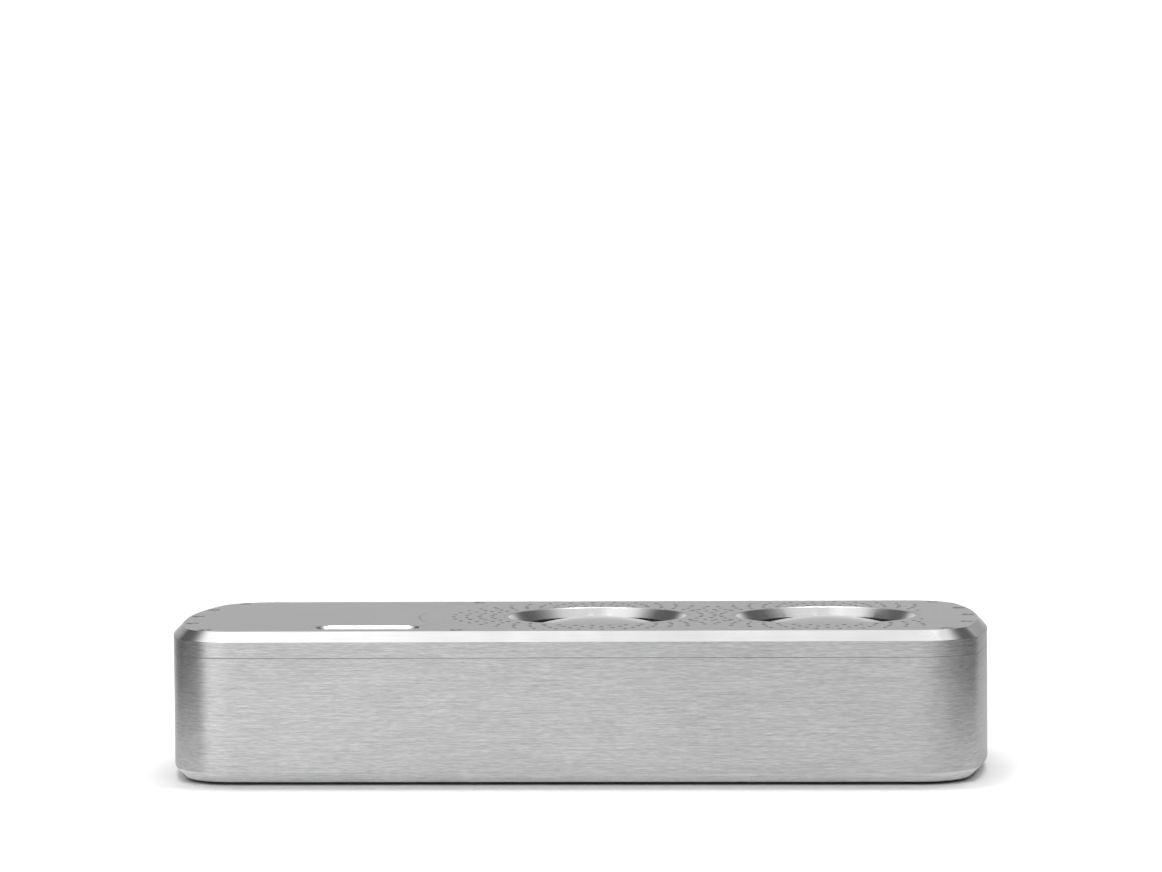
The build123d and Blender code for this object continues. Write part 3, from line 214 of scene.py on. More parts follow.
def lofted(bm, profile, **options):
    """Sweep an (inset, height) profile round the plan of the case."""
    rings = [[(x, y, z) for x, y in plan(inset)] for inset, z in profile]
    return add_rings(bm, rings, **options)


def circle(x, y, z, radius, steps):
    return [
        (x + radius * cos(2 * pi * k / steps), y + radius * sin(2 * pi * k / steps), z)
        for k in range(steps)
    ]


def turned(bm, centre, profile, steps=160, **options):
    """Sweep a (radius, height) profile round a vertical axis."""
    rings = []
    for radius, z in profile:
        if radius < 1e-7:
            rings.append([(centre.x, centre.y, z)])
        else:
            rings.append(circle(centre.x, centre.y, z, radius, steps))
    return add_rings(bm, rings, **options)


def stadium(x, y, length, width, steps=24):
    """Outline of a slot with round ends, long side along X."""
    radius, reach = width / 2, (length - width) / 2
    points = []
    for side, start in ((1, -pi / 2), (-1, pi / 2)):
        for k in range(steps + 1):
            turn = start + pi * k / steps
            points.append((x + side * reach + radius * cos(turn), y + radius * sin(turn)))
    return points


def rounded(x, z, half_x, half_z, radius, steps=8):
    """Outline of a rounded rectangle in the XZ plane."""
    points = []
    for side, way, start in ((1, 1, 0), (-1, 1, 90), (-1, -1, 180), (1, -1, 270)):
        for k in range(steps + 1):
            turn = radians(start + 90 * k / steps)
            points.append((x + side * (half_x - radius) + radius * cos(turn),
                           z + way * (half_z - radius) + radius * sin(turn)))
    return points


def facing_back(bm, x, z, profile, steps=40, **options):
    """Sweep a (radius, y) profile round an axis along Y."""
    rings = []
    for radius, y in profile:
        ring = [2 * pi * k / steps for k in range(steps)]
        rings.append([(x + radius * cos(t), y, z + radius * sin(t)) for t in ring])
    return add_rings(bm, rings, **options)


def prism(bm, outline, low, high):
    """A closed prism on a horizontal outline."""
    add_rings(bm, [[(x, y, z) for x, y in outline] for z in (low, high)],
              cap_first=True, cap_last=True)


def cut(piece, cutter):
    """Subtract one closed mesh from another and drop the cutter."""
    tool = piece.modifiers.new("cut", "BOOLEAN")
    tool.object = cutter
    tool.operation = "DIFFERENCE"
    tool.solver = "EXACT"
    graph = bpy.context.evaluated_depsgraph_get()
    result = bpy.data.meshes.new_from_object(piece.evaluated_get(graph))
    piece.modifiers.clear()
    piece.data = result
    bpy.data.objects.remove(cutter)


def mark_sharp(piece, sharp=6.0):
    """Join points that a cut left double, and shade again."""
    bm = bmesh.new()
    bm.from_mesh(piece.data)
    bmesh.ops.remove_doubles(bm, verts=bm.verts, dist=1e-7)
    shade(bm, sharp)
    bm.to_mesh(piece.data)
    bm.free()


# ---- material helpers ---------------------------------------------------------------


class Shader:
    """A node material with a Principled shader and short calls for what feeds it."""

    def __init__(self, name, color, metallic, roughness, **sockets):
        self.material = bpy.data.materials.new(name)
        self.material.use_nodes = True
        self.nodes = self.material.node_tree.nodes
        self.links = self.material.node_tree.links
        self.surface = self.nodes["Principled BSDF"]
        self.place = self.nodes.new("ShaderNodeTexCoord").outputs["Object"]
        self.set("Base Color", (*color, 1.0))
        self.set("Metallic", metallic)
        self.set("Roughness", roughness)
        for socket, value in sockets.items():
            self.set(socket.replace("_", " "), value)

    def set(self, socket, value):
        self.surface.inputs[socket].default_value = value

    def link(self, source, target):
        self.links.new(source, target)

    def scaled(self, scale, shift=(0, 0, 0)):
        """Object coordinates times a scale for each axis."""
        node = self.nodes.new("ShaderNodeMapping")
        node.inputs["Scale"].default_value = scale
        node.inputs["Location"].default_value = shift
        self.link(self.place, node.inputs["Vector"])
        return node.outputs["Vector"]

    def noise(self, scale, detail=3.0, rough=0.55, shift=(0, 0, 0)):
        """Noise with a frequency for each axis, in waves per metre."""
        node = self.nodes.new("ShaderNodeTexNoise")
        node.inputs["Scale"].default_value = 1.0
        node.inputs["Detail"].default_value = detail
        node.inputs["Roughness"].default_value = rough
        self.link(self.scaled(scale, shift), node.inputs["Vector"])
        return node.outputs["Fac"]

    def spread(self, value, low, high, old_low=0.3, old_high=0.7):
        """Map a value from one range to another, held at the ends."""
        node = self.nodes.new("ShaderNodeMapRange")
        for socket, number in (
            ("From Min", old_low),
            ("From Max", old_high),
            ("To Min", low),
            ("To Max", high),
        ):
            node.inputs[socket].default_value = number
        self.link(value, node.inputs["Value"])
        return node.outputs["Result"]

    def math(self, operation, a, b):
        node = self.nodes.new("ShaderNodeMath")
        node.operation = operation
        for socket, value in zip(node.inputs, (a, b)):
            if isinstance(value, (int, float)):
                socket.default_value = value
            else:
                self.link(value, socket)
        return node.outputs["Value"]

    def tint(self, factor, dark, light):
        """Base colour between two colours by a factor."""
        node = self.nodes.new("ShaderNodeMix")
        node.data_type = "RGBA"
        node.inputs["A"].default_value = (*dark, 1.0)
        node.inputs["B"].default_value = (*light, 1.0)
        self.link(factor, node.inputs["Factor"])
        self.link(node.outputs["Result"], self.surface.inputs["Base Color"])
        return node

    def rough(self, factor, low, high):
        self.link(self.spread(factor, low, high), self.surface.inputs["Roughness"])

    def bump(self, height, strength, distance):
        node = self.nodes.new("ShaderNodeBump")
        node.inputs["Strength"].default_value = strength
        node.inputs["Distance"].default_value = distance
        self.link(height, node.inputs["Height"])
        self.link(node.outputs["Normal"], self.surface.inputs["Normal"])

    def radial_tangent(self):
        """Brushing that runs round the vertical axis."""
        node = self.nodes.new("ShaderNodeTangent")
        node.direction_type = "RADIAL"
        node.axis = "Z"
        self.link(node.outputs["Tangent"], self.surface.inputs["Tangent"])


def grey(level):
    return (level, level, level * 1.01)


# ---- materials ----------------------------------------------------------------------


def brushed_metal(name, level=0.535, rough=0.34, metallic=1.0):
    """Aluminium wall brushed along the case: long fine streaks, light spread upright."""
    m = Shader(name, grey(level), metallic, rough, Anisotropic=0.55,
               Anisotropic_Rotation=0.25, Specular_Tint=(0.6, 0.6, 0.6, 1))
    m.radial_tangent()
    long_streaks = m.noise((55, 55, 1700), 4.0, 0.62)
    short_streaks = m.noise((200, 200, 3300), 3.0, 0.6, (3, 1, 2))
    clouds = m.noise((9, 9, 14), 2.0, 0.5, (5, 2, 1))
    streaks = m.math("ADD", m.math("MULTIPLY", long_streaks, 0.40),
                     m.math("MULTIPLY", short_streaks, 0.60))
    tone = m.math("ADD", m.math("MULTIPLY", streaks, 0.9), m.math("MULTIPLY", clouds, 0.1))
    m.tint(m.spread(tone, 0, 1, 0.36, 0.64), grey(level * 0.70), grey(min(1, level * 1.28)))
    m.rough(streaks, rough - 0.06, rough + 0.08)
    m.bump(streaks, 0.10, 0.00012)
    return m.material


def satin_metal(name, level=0.56, rough=0.30, edge=0.72):
    """Bead-blasted and anodised top: a fine even grain."""
    m = Shader(name, grey(level), 1.0, rough, Specular_Tint=(edge, edge, edge, 1))
    grain = m.noise((2600, 2600, 2600), 2.0, 0.6)
    cloud = m.noise((26, 26, 26), 3.0, 0.5, (2, 4, 1))
    tone = m.math("ADD", m.math("MULTIPLY", grain, 0.7), m.math("MULTIPLY", cloud, 0.3))
    m.tint(m.spread(tone, 0, 1, 0.34, 0.66), grey(level * 0.92), grey(level * 1.07))
    m.rough(grain, rough - 0.06, rough + 0.06)
    m.bump(grain, 0.15, 0.00006)
    return m.material


def polished_metal(name, level=0.80, rough=0.14, edge=1.0):
    """Machined and polished faces with faint tool marks along the cut."""
    m = Shader(name, grey(level), 1.0, rough, Anisotropic=0.35, Anisotropic_Rotation=0.25,
               Specular_Tint=(edge, edge, edge, 1))
    m.radial_tangent()
    marks = m.noise((40, 40, 5200), 3.0, 0.6)
    haze = m.noise((60, 60, 60), 3.0, 0.55, (1, 3, 2))
    m.tint(m.spread(marks, 0, 1, 0.35, 0.65), grey(level * 0.96), grey(min(1, level * 1.03)))
    m.rough(haze, rough * 0.85, rough * 1.3)
    m.bump(marks, 0.05, 0.00005)
    return m.material


def rubber(name, level=0.012, rough=0.55):
    m = Shader(name, grey(level), 0.0, rough)
    grain = m.noise((1800, 1800, 1800), 3.0, 0.6)
    dust = m.noise((120, 120, 120), 3.0, 0.6, (4, 1, 3))
    m.tint(m.spread(dust, 0, 1, 0.45, 0.75), grey(level), grey(level * 1.9))
    m.rough(grain, rough - 0.08, rough + 0.12)
    m.bump(grain, 0.2, 0.00008)
    return m.material


def moulding(name, color, rough=0.5, grain_scale=2200, bump=0.25, metallic=0.0):
    """Fine-textured moulded plastic, coating or wound wire."""
    m = Shader(name, color, metallic, rough)
    grain = m.noise((grain_scale,) * 3, 2.0, 0.6)
    wear = m.noise((90, 90, 90), 4.0, 0.6, (2, 2, 5))
    lighter = tuple(min(1.0, c * 1.35 + 0.004) for c in color)
    m.tint(m.spread(wear, 0, 1, 0.4, 0.75), color, lighter)
    m.rough(grain, rough - 0.07, rough + 0.1)
    m.bump(grain, bump, 0.00008)
    return m.material


def clear_plastic(name):
    """Clear acrylic with faint flow marks."""
    m = Shader(name, (0.9, 0.92, 0.94), 0.0, 0.12, Transmission_Weight=0.85, IOR=1.49)
    flow = m.noise((140, 140, 60), 3.0, 0.5)
    m.tint(m.spread(flow, 0, 1), (0.84, 0.87, 0.90), (0.95, 0.96, 0.97))
    m.rough(flow, 0.08, 0.18)
    m.bump(flow, 0.05, 0.00005)
    return m.material


BRUSHED = brushed_metal("brushed_aluminium")
# Painted light: a lighter, partly diffuse copy of the brushed aluminium (real streaks, raised base colour)
# so the bottom chamfer looks lit by the floor
BRUSHED_EDGE_PAINTED_LIGHT = brushed_metal("brushed_edge_painted_light", 0.96, 0.70, 0.3)
SATIN = satin_metal("satin_aluminium")
POLISHED = polished_metal("polished_chamfer", 0.86, 0.10, 0.4)
TURNED = polished_metal("turned_trim", 0.68, 0.20)
DOME = satin_metal("dome_satin", 0.64, 0.22, 1.0)
RUBBER = rubber("rubber_black")
BLACK_PLASTIC = moulding("black_moulding", (0.012, 0.012, 0.013))
SCREW_METAL = polished_metal("screw_zinc", 0.62, 0.24)
# Painted shade: a near-black material on the walls inside the lid's holes stands in for the shade that falls
# in them
PAINTED_SHADE_HOLE_WALL = moulding("hole_wall_painted_shade", (0.02, 0.02, 0.021), 0.35)
SCREEN_MESH = moulding("screen_mesh", (0.006, 0.006, 0.006), 0.7, 4000, 0.5)
KEY_METAL = satin_metal("key_satin", 0.66, 0.28, 1.0)
MARK_INK = moulding("mark_ink", (0.03, 0.03, 0.032), 0.5, 1500, 0.1)
GOLD = moulding("gold_flash", (0.83, 0.60, 0.22), 0.24, 1600, 0.06, 1.0)
WHITE_INSERT = moulding("insert_white", (0.75, 0.75, 0.74), 0.4, 1800, 0.1)
RED_INSERT = moulding("insert_red", (0.55, 0.02, 0.02), 0.4, 1800, 0.1)


def paint(piece, *materials):
    piece.data.materials.clear()
    for material in materials:
        piece.data.materials.append(material)


def settle(piece, body, slot_name, *nodes):
    """Ride on a body and stand for CAD nodes, which are hidden; the slot name is not used."""
    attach(piece, body)
    if nodes:
        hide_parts(*nodes)


# ---- hole patterns in the lid -------------------------------------------------------
HOLE_R = 1.15 * MM
RING_COUNT = 4
RING_FIRST_R = 52.0 * MM
RING_STEP = 6.35 * MM
HOLES_PER_RING = 40
HOLE_PITCH_MIN = 3.7 * MM
FIELD_Y = 74.6 * MM
FIELD_X = 168.0 * MM
SCREW_HEAD_R = 3.15 * MM
SCREW_CLEAR_R = 1.7 * MM
SCREW_SINK = 0.6 * MM
PIN_ARC_R = 88.0 * MM
PIN_COUNT = 7
PIN_FIRST, PIN_STEP = 172.0, 4.4
PIN_R = 0.7 * MM
LID_SCREW_INSET = 9.0 * MM
LID_SCREW_TURN = radians(50)  # corner screws, round the corner from X
SIDE_SCREW_Y = 36.0 * MM
MID_SCREW = Vector((-56.0, 73.0)) * MM
RING_MARGIN = 2.6 * MM  # clear of a trim ring
SCREW_MARGIN = 7.0 * MM


def lid_screw_places():
    bow_x, corner_x, corner_y = plan_centres()
    reach = (CORNER_R - LID_SCREW_INSET) * sin(LID_SCREW_TURN)
    out = (CORNER_R - LID_SCREW_INSET) * cos(LID_SCREW_TURN)
    side_x = bow_x + sqrt((BOW_R - LID_SCREW_INSET) ** 2 - SIDE_SCREW_Y**2)
    places = []
    for side in (-1, 1):
        places.append((side * (HALF_X - LID_SCREW_INSET), 0.0))
        for way in (-1, 1):
            places.append((side * side_x, way * SIDE_SCREW_Y))
            places.append((side * (corner_x + out), way * (corner_y + reach)))
    return places + [(MID_SCREW.x, -MID_SCREW.y), (MID_SCREW.x, MID_SCREW.y)]


def perforation_places():
    places = []
    centres = [c.x for c in DRIVERS.values()]
    for ring in range(RING_COUNT):
        radius = RING_FIRST_R + ring * RING_STEP
        for centre_x in centres:
            for k in range(HOLES_PER_RING):
                turn = radians(360 / HOLES_PER_RING * (k + ring % 2 / 2))
                x, y = centre_x + radius * cos(turn), radius * sin(turn)
                in_field = abs(y) < FIELD_Y and x < FIELD_X
                off_rings = all(hypot(x - c, y) > RING_LIP_R + RING_MARGIN for c in centres)
                spaced = all(hypot(x - p, y - q) > HOLE_PITCH_MIN for p, q in places)
                off_screw = hypot(x - MID_SCREW.x, abs(y) - MID_SCREW.y) > SCREW_MARGIN
                if in_field and off_rings and spaced and off_screw:
                    places.append((x, y))
    return places


def pinhole_places():
    turns = [radians(PIN_FIRST + k * PIN_STEP) for k in range(PIN_COUNT)]
    return [(DRIVERS["left"].x + PIN_ARC_R * cos(t), PIN_ARC_R * sin(t)) for t in turns]


# ---- case ---------------------------------------------------------------------------
WELL = middle("key_well")
WELL_L, WELL_W = 52.0 * MM, 17.0 * MM
WELL_WALL = 1.0 * MM
WELL_DEPTH = 8.2 * MM
WELL_BEVEL = 2.2 * MM
WELL_FLANGE = 4.0 * MM
WELL_T = 1.5 * MM  # flange and floor


def lid_cutter():
    """Every hole in the lid, as one mesh of closed shapes."""
    over, under = TOP + CUT_OVER, CEILING - CUT_OVER
    bm = bmesh.new()

    def hole(x, y, profile, steps):
        turned(bm, Vector((x, y, 0)), profile, steps, cap_first=True, cap_last=True)

    for x, y in perforation_places():
        hole(x, y, ((HOLE_R, under), (HOLE_R, over)), 20)
    for x, y in pinhole_places():
        hole(x, y, ((PIN_R, under), (PIN_R, over)), 16)
    seat = TOP - SCREW_SINK
    sink = SCREW_HEAD_R - SCREW_CLEAR_R
    for x, y in lid_screw_places():
        hole(x, y, ((SCREW_CLEAR_R, under), (SCREW_CLEAR_R, seat - sink),
                    (SCREW_HEAD_R, seat), (SCREW_HEAD_R, over)), 40)
    lip, lip_seat = RING_LIP_R + FIT / 2, TOP - RING_LIP_T
    for centre in DRIVERS.values():
        hole(centre.x, centre.y, ((APERTURE_R, under), (APERTURE_R, lip_seat),
                                  (lip, lip_seat), (lip, over)), 160)
    around = 2 * WELL_WALL + FIT
    prism(bm, stadium(WELL.x, WELL.y, WELL_L + around, WELL_W + around), under, over)
    return finish_mesh("cutter", bm)


def in_lid(point):
    """Whether a point lies well inside the lid's edge and off the rings."""
    off_rings = all(hypot(point.x - c.x, point.y) > RING_LIP_R + MM for c in DRIVERS.values())
    return abs(point.x) < HALF_X - 5 * MM and off_rings


def make_lid():
    """The lid; the crisp edge of its chamfer against the top face isn't eased."""
    tongue = SEAM + TONGUE_H
    edge = soften(
        (
            (LID_WALL, tongue), (LID_STEP, tongue), (LID_STEP, SEAM),
            (0, SEAM), (0, TOP - EDGE_CHAMFER), (EDGE_CHAMFER, TOP),
        ),
        EDGE_EASE,
    )
    edge = [*edge, (EDGE_CHAMFER + 1.5 * MM, TOP)]
    bm = bmesh.new()
    lofted(bm, [(LID_WALL, CEILING), *edge], cap_first=True, cap_last=True)
    lid = finish_mesh("lid_shell", bm)
    cut(lid, lid_cutter())
    mark_sharp(lid)
    paint(lid, SATIN, POLISHED, BRUSHED, PAINTED_SHADE_HOLE_WALL)
    for face in lid.data.polygons:
        centre, upright = face.center, abs(face.normal.z)
        if centre.z > TOP - EDGE_CHAMFER - 0.2 * MM and 0.6 < upright < 0.8 and face.area > 1e-7:
            face.material_index = 1
        # Painted shade: the walls of the holes through the lid get the near-black material in place of their
        # shade
        elif upright <= 0.3 and TOP - SCREW_SINK > centre.z > CEILING and in_lid(centre):
            face.material_index = 3
        elif upright <= 0.6 and centre.z < TOP - EDGE_CHAMFER + 0.2 * MM:
            face.material_index = 2
    settle(lid, "case", "satin_lid", "lid")


BAY = middle("connector_bay")
BAY_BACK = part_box("connector_bay")[1].y
BAY_STEP = HALF_Y - 2.8 * MM
BAY_FLANGE, BAY_FLANGE_R = (65.0 * MM, 21.0 * MM), 6.0 * MM  # half sizes, corner radius
BAY_BODY, BAY_BODY_R = (59.0 * MM, 19.0 * MM), 4.0 * MM
BAY_MOUTH, BAY_MOUTH_R = (57.0 * MM, 17.0 * MM), 2.0 * MM
BAY_EASE, BAY_EASE_R = 0.35 * MM, 0.4 * MM  # eased edge, and its change of corner radius
BAY_SCREW = (61.8 * MM, 13.0 * MM)


def bay_cutters():
    """The step for the bay's flange and the opening for its walls."""
    for (half_x, half_z), radius, y0, y1 in (
        (BAY_FLANGE, BAY_FLANGE_R, BAY_STEP, HALF_Y + CUT_OVER),
        (BAY_BODY, BAY_BODY_R, HALF_Y - 10 * MM, HALF_Y),
    ):
        outline = rounded(BAY.x, BAY.z, half_x + FIT, half_z + FIT, radius + FIT)
        bm = bmesh.new()
        add_rings(bm, [[(x, y, z) for x, z in outline] for y in (y0, y1)],
                  cap_first=True, cap_last=True)
        yield finish_mesh("cutter", bm)


def make_tub():
    top = SEAM - VISIBLE_GAP
    profile = soften(
        (
            (LEDGE_INSET, LEDGE_TOP), (LEDGE_INSET, PLATE_TOP), (PLATE_INSET, PLATE_TOP),
            (PLATE_INSET, BASE), (EDGE_CHAMFER, BASE), (0, BASE + EDGE_CHAMFER), (0, top),
            (TONGUE_INSET, top), (TONGUE_INSET, top + TONGUE_H), (TUB_WALL, top + TONGUE_H),
            (TUB_WALL, LEDGE_TOP),
        ),
        EDGE_EASE,
        closed=True,
    )
    bm = bmesh.new()
    lofted(bm, profile, close_rows=True)
    tub = finish_mesh("tub_shell", bm)
    for cutter in bay_cutters():
        cut(tub, cutter)
    mark_sharp(tub)
    paint(tub, BRUSHED, BRUSHED_EDGE_PAINTED_LIGHT)
    # Painted light on the bottom chamfer: its faces get the lighter copy of the brushed aluminium
    for face in tub.data.polygons:
        low, lean = face.center.z < BASE + EDGE_CHAMFER, abs(face.normal.z)
        if low and 0.3 < lean < 0.98 and face.area > 1e-7:
            face.material_index = 1
    settle(tub, "case", "brushed_case", "case_tub")


# ---- drivers ------------------------------------------------------------------------


def make_trim_ring(side, centre):
    """Turned ring with a sloping dish; its lip has the lid's own finish."""
    profile = soften(
        (
            (RING_MOUTH_R, TOP - RING_BEVEL), (RING_MOUTH_R + RING_BEVEL, TOP),
            (RING_LIP_R, TOP), (RING_LIP_R, TOP - RING_LIP_T),
            (RING_BODY_R, TOP - RING_LIP_T), (RING_BODY_R, DISH_FOOT),
            (RING_THROAT_R, DISH_FOOT), (RING_THROAT_R, DISH_FOOT + RING_FOOT),
        ),
        0.15 * MM,
        closed=True,
    )
    bm = bmesh.new()
    turned(bm, centre, profile, 192, close_rows=True)
    ring = finish_mesh("trim_ring_" + side + "_turned", bm)
    paint(ring, TURNED, SATIN)
    for face in ring.data.polygons:
        if face.normal.z > 0.6 and face.center.z > TOP - RING_BEVEL - 0.05 * MM:
            face.material_index = 1
    settle(ring, "case", "bright_trim", "trim_ring_" + side)


def make_dome(side, centre):
    """Thin spherical cap."""
    sphere = (DOME_R**2 + DOME_RISE**2) / (2 * DOME_RISE)
    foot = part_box("dome_" + side)[0].z + DOME_T
    steps = 28
    outer = []
    for k in range(steps + 1):
        radius = DOME_R * k / steps
        outer.append((radius, foot + DOME_RISE - sphere + sqrt(sphere**2 - radius**2)))
    inner = [(r, z - DOME_T) for r, z in reversed(outer)]
    bm = bmesh.new()
    turned(bm, centre, outer + inner, 160)
    dome = finish_mesh("dome_" + side + "_spun", bm)
    paint(dome, DOME)
    settle(dome, "dome_" + side + "_body", "dome", "dome_" + side)


def make_surround(side, centre):
    """Rubber roll from the basket to the dome; its inner edge goes with the dome."""
    top = DISH_FOOT - 0.1 * MM
    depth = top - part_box("surround_" + side)[0].z - ROLL_T
    middle_r = (ROLL_IN_R + ROLL_LAP + ROLL_OUT_R) / 2
    half = (ROLL_OUT_R - ROLL_IN_R - ROLL_LAP) / 2
    steps = 16
    profile = [(ROLL_LANDING_R, top)]
    for k in range(steps + 1):
        turn = pi * k / steps
        profile.append((middle_r + half * cos(turn), top - depth * sin(turn)))
    profile.append((ROLL_IN_R, top - DOME_T))
    lower = [(r, z - ROLL_T) for r, z in reversed(profile)]
    bm = bmesh.new()
    turned(bm, centre, profile + lower, 160, close_rows=True)
    roll = finish_mesh("surround_" + side + "_roll", bm, 40)
    paint(roll, RUBBER)
    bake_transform(roll, "case", "dome_" + side + "_body",
             start=(centre.x + ROLL_OUT_R, centre.y, DISH_FOOT),
             end=(centre.x + ROLL_IN_R, centre.y, DISH_FOOT))
    weights = roll.data.attributes["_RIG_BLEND"].data
    for vertex, weight in zip(roll.data.vertices, weights):
        radius = hypot(vertex.co.x - centre.x, vertex.co.y - centre.y)
        t = min(1.0, max(0.0, (ROLL_OUT_R - radius) / (ROLL_OUT_R - ROLL_IN_R)))
        weight.value = t * t * (3 - 2 * t)
    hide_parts("surround_" + side)


# ---- control well and keys ----------------------------------------------------------


def make_well():
    """Round-ended well with a bevelled mouth, and its flange under the lid."""
    floor = TOP - WELL_DEPTH
    profile = soften(
        (
            (-WELL_BEVEL, floor), (-WELL_BEVEL, TOP - WELL_BEVEL), (0, TOP), (WELL_WALL, TOP),
            (WELL_WALL, CEILING), (WELL_FLANGE, CEILING), (WELL_FLANGE, CEILING - WELL_T),
            (WELL_WALL, CEILING - WELL_T), (WELL_WALL, floor - WELL_T),
        ),
        EDGE_EASE,
    )
    rings = []
    for grow, z in profile:
        outline = stadium(WELL.x, WELL.y, WELL_L + 2 * grow, WELL_W + 2 * grow)
        rings.append([(x, y, z) for x, y in outline])
    bm = bmesh.new()
    add_rings(bm, rings, cap_first=True, cap_last=True)
    well = finish_mesh("well_bevelled", bm)
    paint(well, TURNED, SATIN)
    for face in well.data.polygons:
        if face.normal.z > 0.9 and face.center.z > TOP - 0.1 * MM:
            face.material_index = 1
    settle(well, "case", "bright_trim", "key_well")


KEY_CAP_H = 3.8 * MM
KEY_EASE = 0.4 * MM
MARK_REACH, MARK_HALF = 1.7 * MM, 0.28 * MM  # half the length and width of a mark's bar
MARK_PROUD = 0.03 * MM


def key_outline(low, high, round_side, inset):
    """A key's outline: round at one side (-1 or 1, 0 for neither), small radii elsewhere."""
    centre_y, half = (low.y + high.y) / 2, (high.y - low.y) / 2
    corner = 0.6 * MM
    points = []
    for side, start in ((1, -pi / 2), (-1, pi / 2)):
        edge = high.x if side == 1 else low.x
        radius = half if side == round_side else corner
        steps = 12 if side == round_side else 4
        for quarter in (0, 1):
            way = sin(start) if quarter == 0 else -sin(start)
            for k in range(steps + 1):
                turn = start + pi / 2 * (quarter + k / steps)
                points.append((edge - side * radius + (radius - inset) * cos(turn),
                               centre_y + way * (half - radius) + (radius - inset) * sin(turn)))
    return points


def cross(x, y, reach, half, arms):
    """A bar, or a plus when both arms are asked for."""
    if not arms:
        return ((x - reach, y - half), (x + reach, y - half), (x + reach, y + half),
                (x - reach, y + half))
    return ((x - reach, y - half), (x - half, y - half), (x - half, y - reach),
            (x + half, y - reach), (x + half, y - half), (x + reach, y - half),
            (x + reach, y + half), (x + half, y + half), (x + half, y + reach),
            (x - half, y + reach), (x - half, y + half), (x - reach, y + half))


def make_key(name, round_side):
    """Key cap with an eased edge and a printed mark."""
    low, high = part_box("key_" + name)
    foot, top = high.z - KEY_CAP_H, high.z
    x, y = (low.x + high.x) / 2, (low.y + high.y) / 2
    marks = {
        "minus": cross(x, y, MARK_REACH, MARK_HALF, False),
        "plus": cross(x, y, MARK_REACH, MARK_HALF, True),
        "play": ((x - 1.1 * MM, y - 1.5 * MM), (x + 1.6 * MM, y), (x - 1.1 * MM, y + 1.5 * MM)),
    }
    profile = soften(((0, foot), (0, top - KEY_EASE), (KEY_EASE, top)), KEY_EASE / 2)
    profile[-1] = (KEY_EASE + 0.1 * MM, top)
    bm = bmesh.new()
    rings = []
    for inset, z in profile:
        rings.append([(px, py, z) for px, py in key_outline(low, high, round_side, inset)])
    add_rings(bm, rings, cap_first=True, cap_last=True)
    prism(bm, marks[name], top - 0.3 * MM, top + MARK_PROUD)
    key = finish_mesh("key_" + name + "_cap", bm)
    paint(key, KEY_METAL, MARK_INK)
    for face in key.data.polygons:
        if face.center.z > top + MARK_PROUD / 2:
            face.material_index = 1
    settle(key, "key_" + name + "_body", "keys", "key_" + name)


# ---- connector bay ------------------------------------------------------------------


def make_bezel():
    """Flange and walls of the bay, with edges eased and the four screw seats cut."""
    floor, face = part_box("connector_bay")[0].y, BAY_BACK
    rows = (
        (BAY_MOUTH, 0, BAY_MOUTH_R, floor), (BAY_MOUTH, 0, BAY_MOUTH_R, face - BAY_EASE),
        (BAY_MOUTH, BAY_EASE, BAY_MOUTH_R + BAY_EASE_R, face),
        (BAY_FLANGE, -BAY_EASE, BAY_FLANGE_R - BAY_EASE_R, face),
        (BAY_FLANGE, 0, BAY_FLANGE_R, face - BAY_EASE), (BAY_FLANGE, 0, BAY_FLANGE_R, BAY_STEP),
        (BAY_BODY, 0, BAY_BODY_R, BAY_STEP), (BAY_BODY, 0, BAY_BODY_R, floor),
    )
    rings = []
    for (half_x, half_z), grow, radius, y in rows:
        outline = rounded(BAY.x, BAY.z, half_x + grow, half_z + grow, radius)
        rings.append([(x, y, z) for x, z in outline])
    bm = bmesh.new()
    add_rings(bm, rings, close_rows=True)
    bezel = finish_mesh("bay_bezel", bm)
    bm = bmesh.new()
    sink = SCREW_HEAD_R - SCREW_CLEAR_R
    for way_x in (-1, 1):
        for way_z in (-1, 1):
            facing_back(
                bm, BAY.x + way_x * BAY_SCREW[0], BAY.z + way_z * BAY_SCREW[1],
                ((SCREW_CLEAR_R, BAY_STEP - CUT_OVER), (SCREW_CLEAR_R, face - sink),
                 (SCREW_HEAD_R, face), (SCREW_HEAD_R, face + CUT_OVER)),
                cap_first=True, cap_last=True,
            )
    cut(bezel, finish_mesh("cutter", bm))
    mark_sharp(bezel, 20)
    paint(bezel, BLACK_PLASTIC)
    settle(bezel, "case", "bay_plastic", "connector_bay")


def make_insulator(side, ink):
    """Coloured ring in the mouth of a line-in socket."""
    face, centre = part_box("line_in_" + side)[1].y, middle("line_in_" + side)
    proud, depth, outer, inner = 0.08 * MM, 0.5 * MM, 3.2 * MM, 1.75 * MM
    bm = bmesh.new()
    facing_back(bm, centre.x, BAY.z,
                ((inner, face - depth), (inner, face + proud), (outer - proud, face + proud),
                 (outer, face), (outer, face - depth)), close_rows=True)
    ring = finish_mesh("line_in_" + side + "_insulator", bm, 30)
    paint(ring, ink)
    settle(ring, "case", "bay_plastic")


SOCKET_WALL = 1.5 * MM
CONTACTS, CONTACT_PITCH, CONTACT_W = 8, 1.02 * MM, 0.32 * MM


def make_contacts():
    """Sprung wires under the roof of the network socket."""
    low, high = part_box("network_socket")
    roof, mouth = high.z - SOCKET_WALL, high.y
    half = CONTACT_W / 2
    bm = bmesh.new()
    for k in range(CONTACTS):
        x = (low.x + high.x) / 2 + (k - (CONTACTS - 1) / 2) * CONTACT_PITCH
        side = [(mouth - 1.5 * MM, roof - 0.5 * MM), (mouth - 9.5 * MM, roof - 3.0 * MM),
                (mouth - 9.8 * MM, roof - 2.7 * MM), (mouth - 1.5 * MM, roof - 0.15 * MM)]
        add_rings(bm, [[(px, y, z) for y, z in side] for px in (x - half, x + half)],
                  cap_first=True, cap_last=True)
    wires = finish_mesh("network_contacts", bm)
    paint(wires, GOLD)
    settle(wires, "case", "pins")


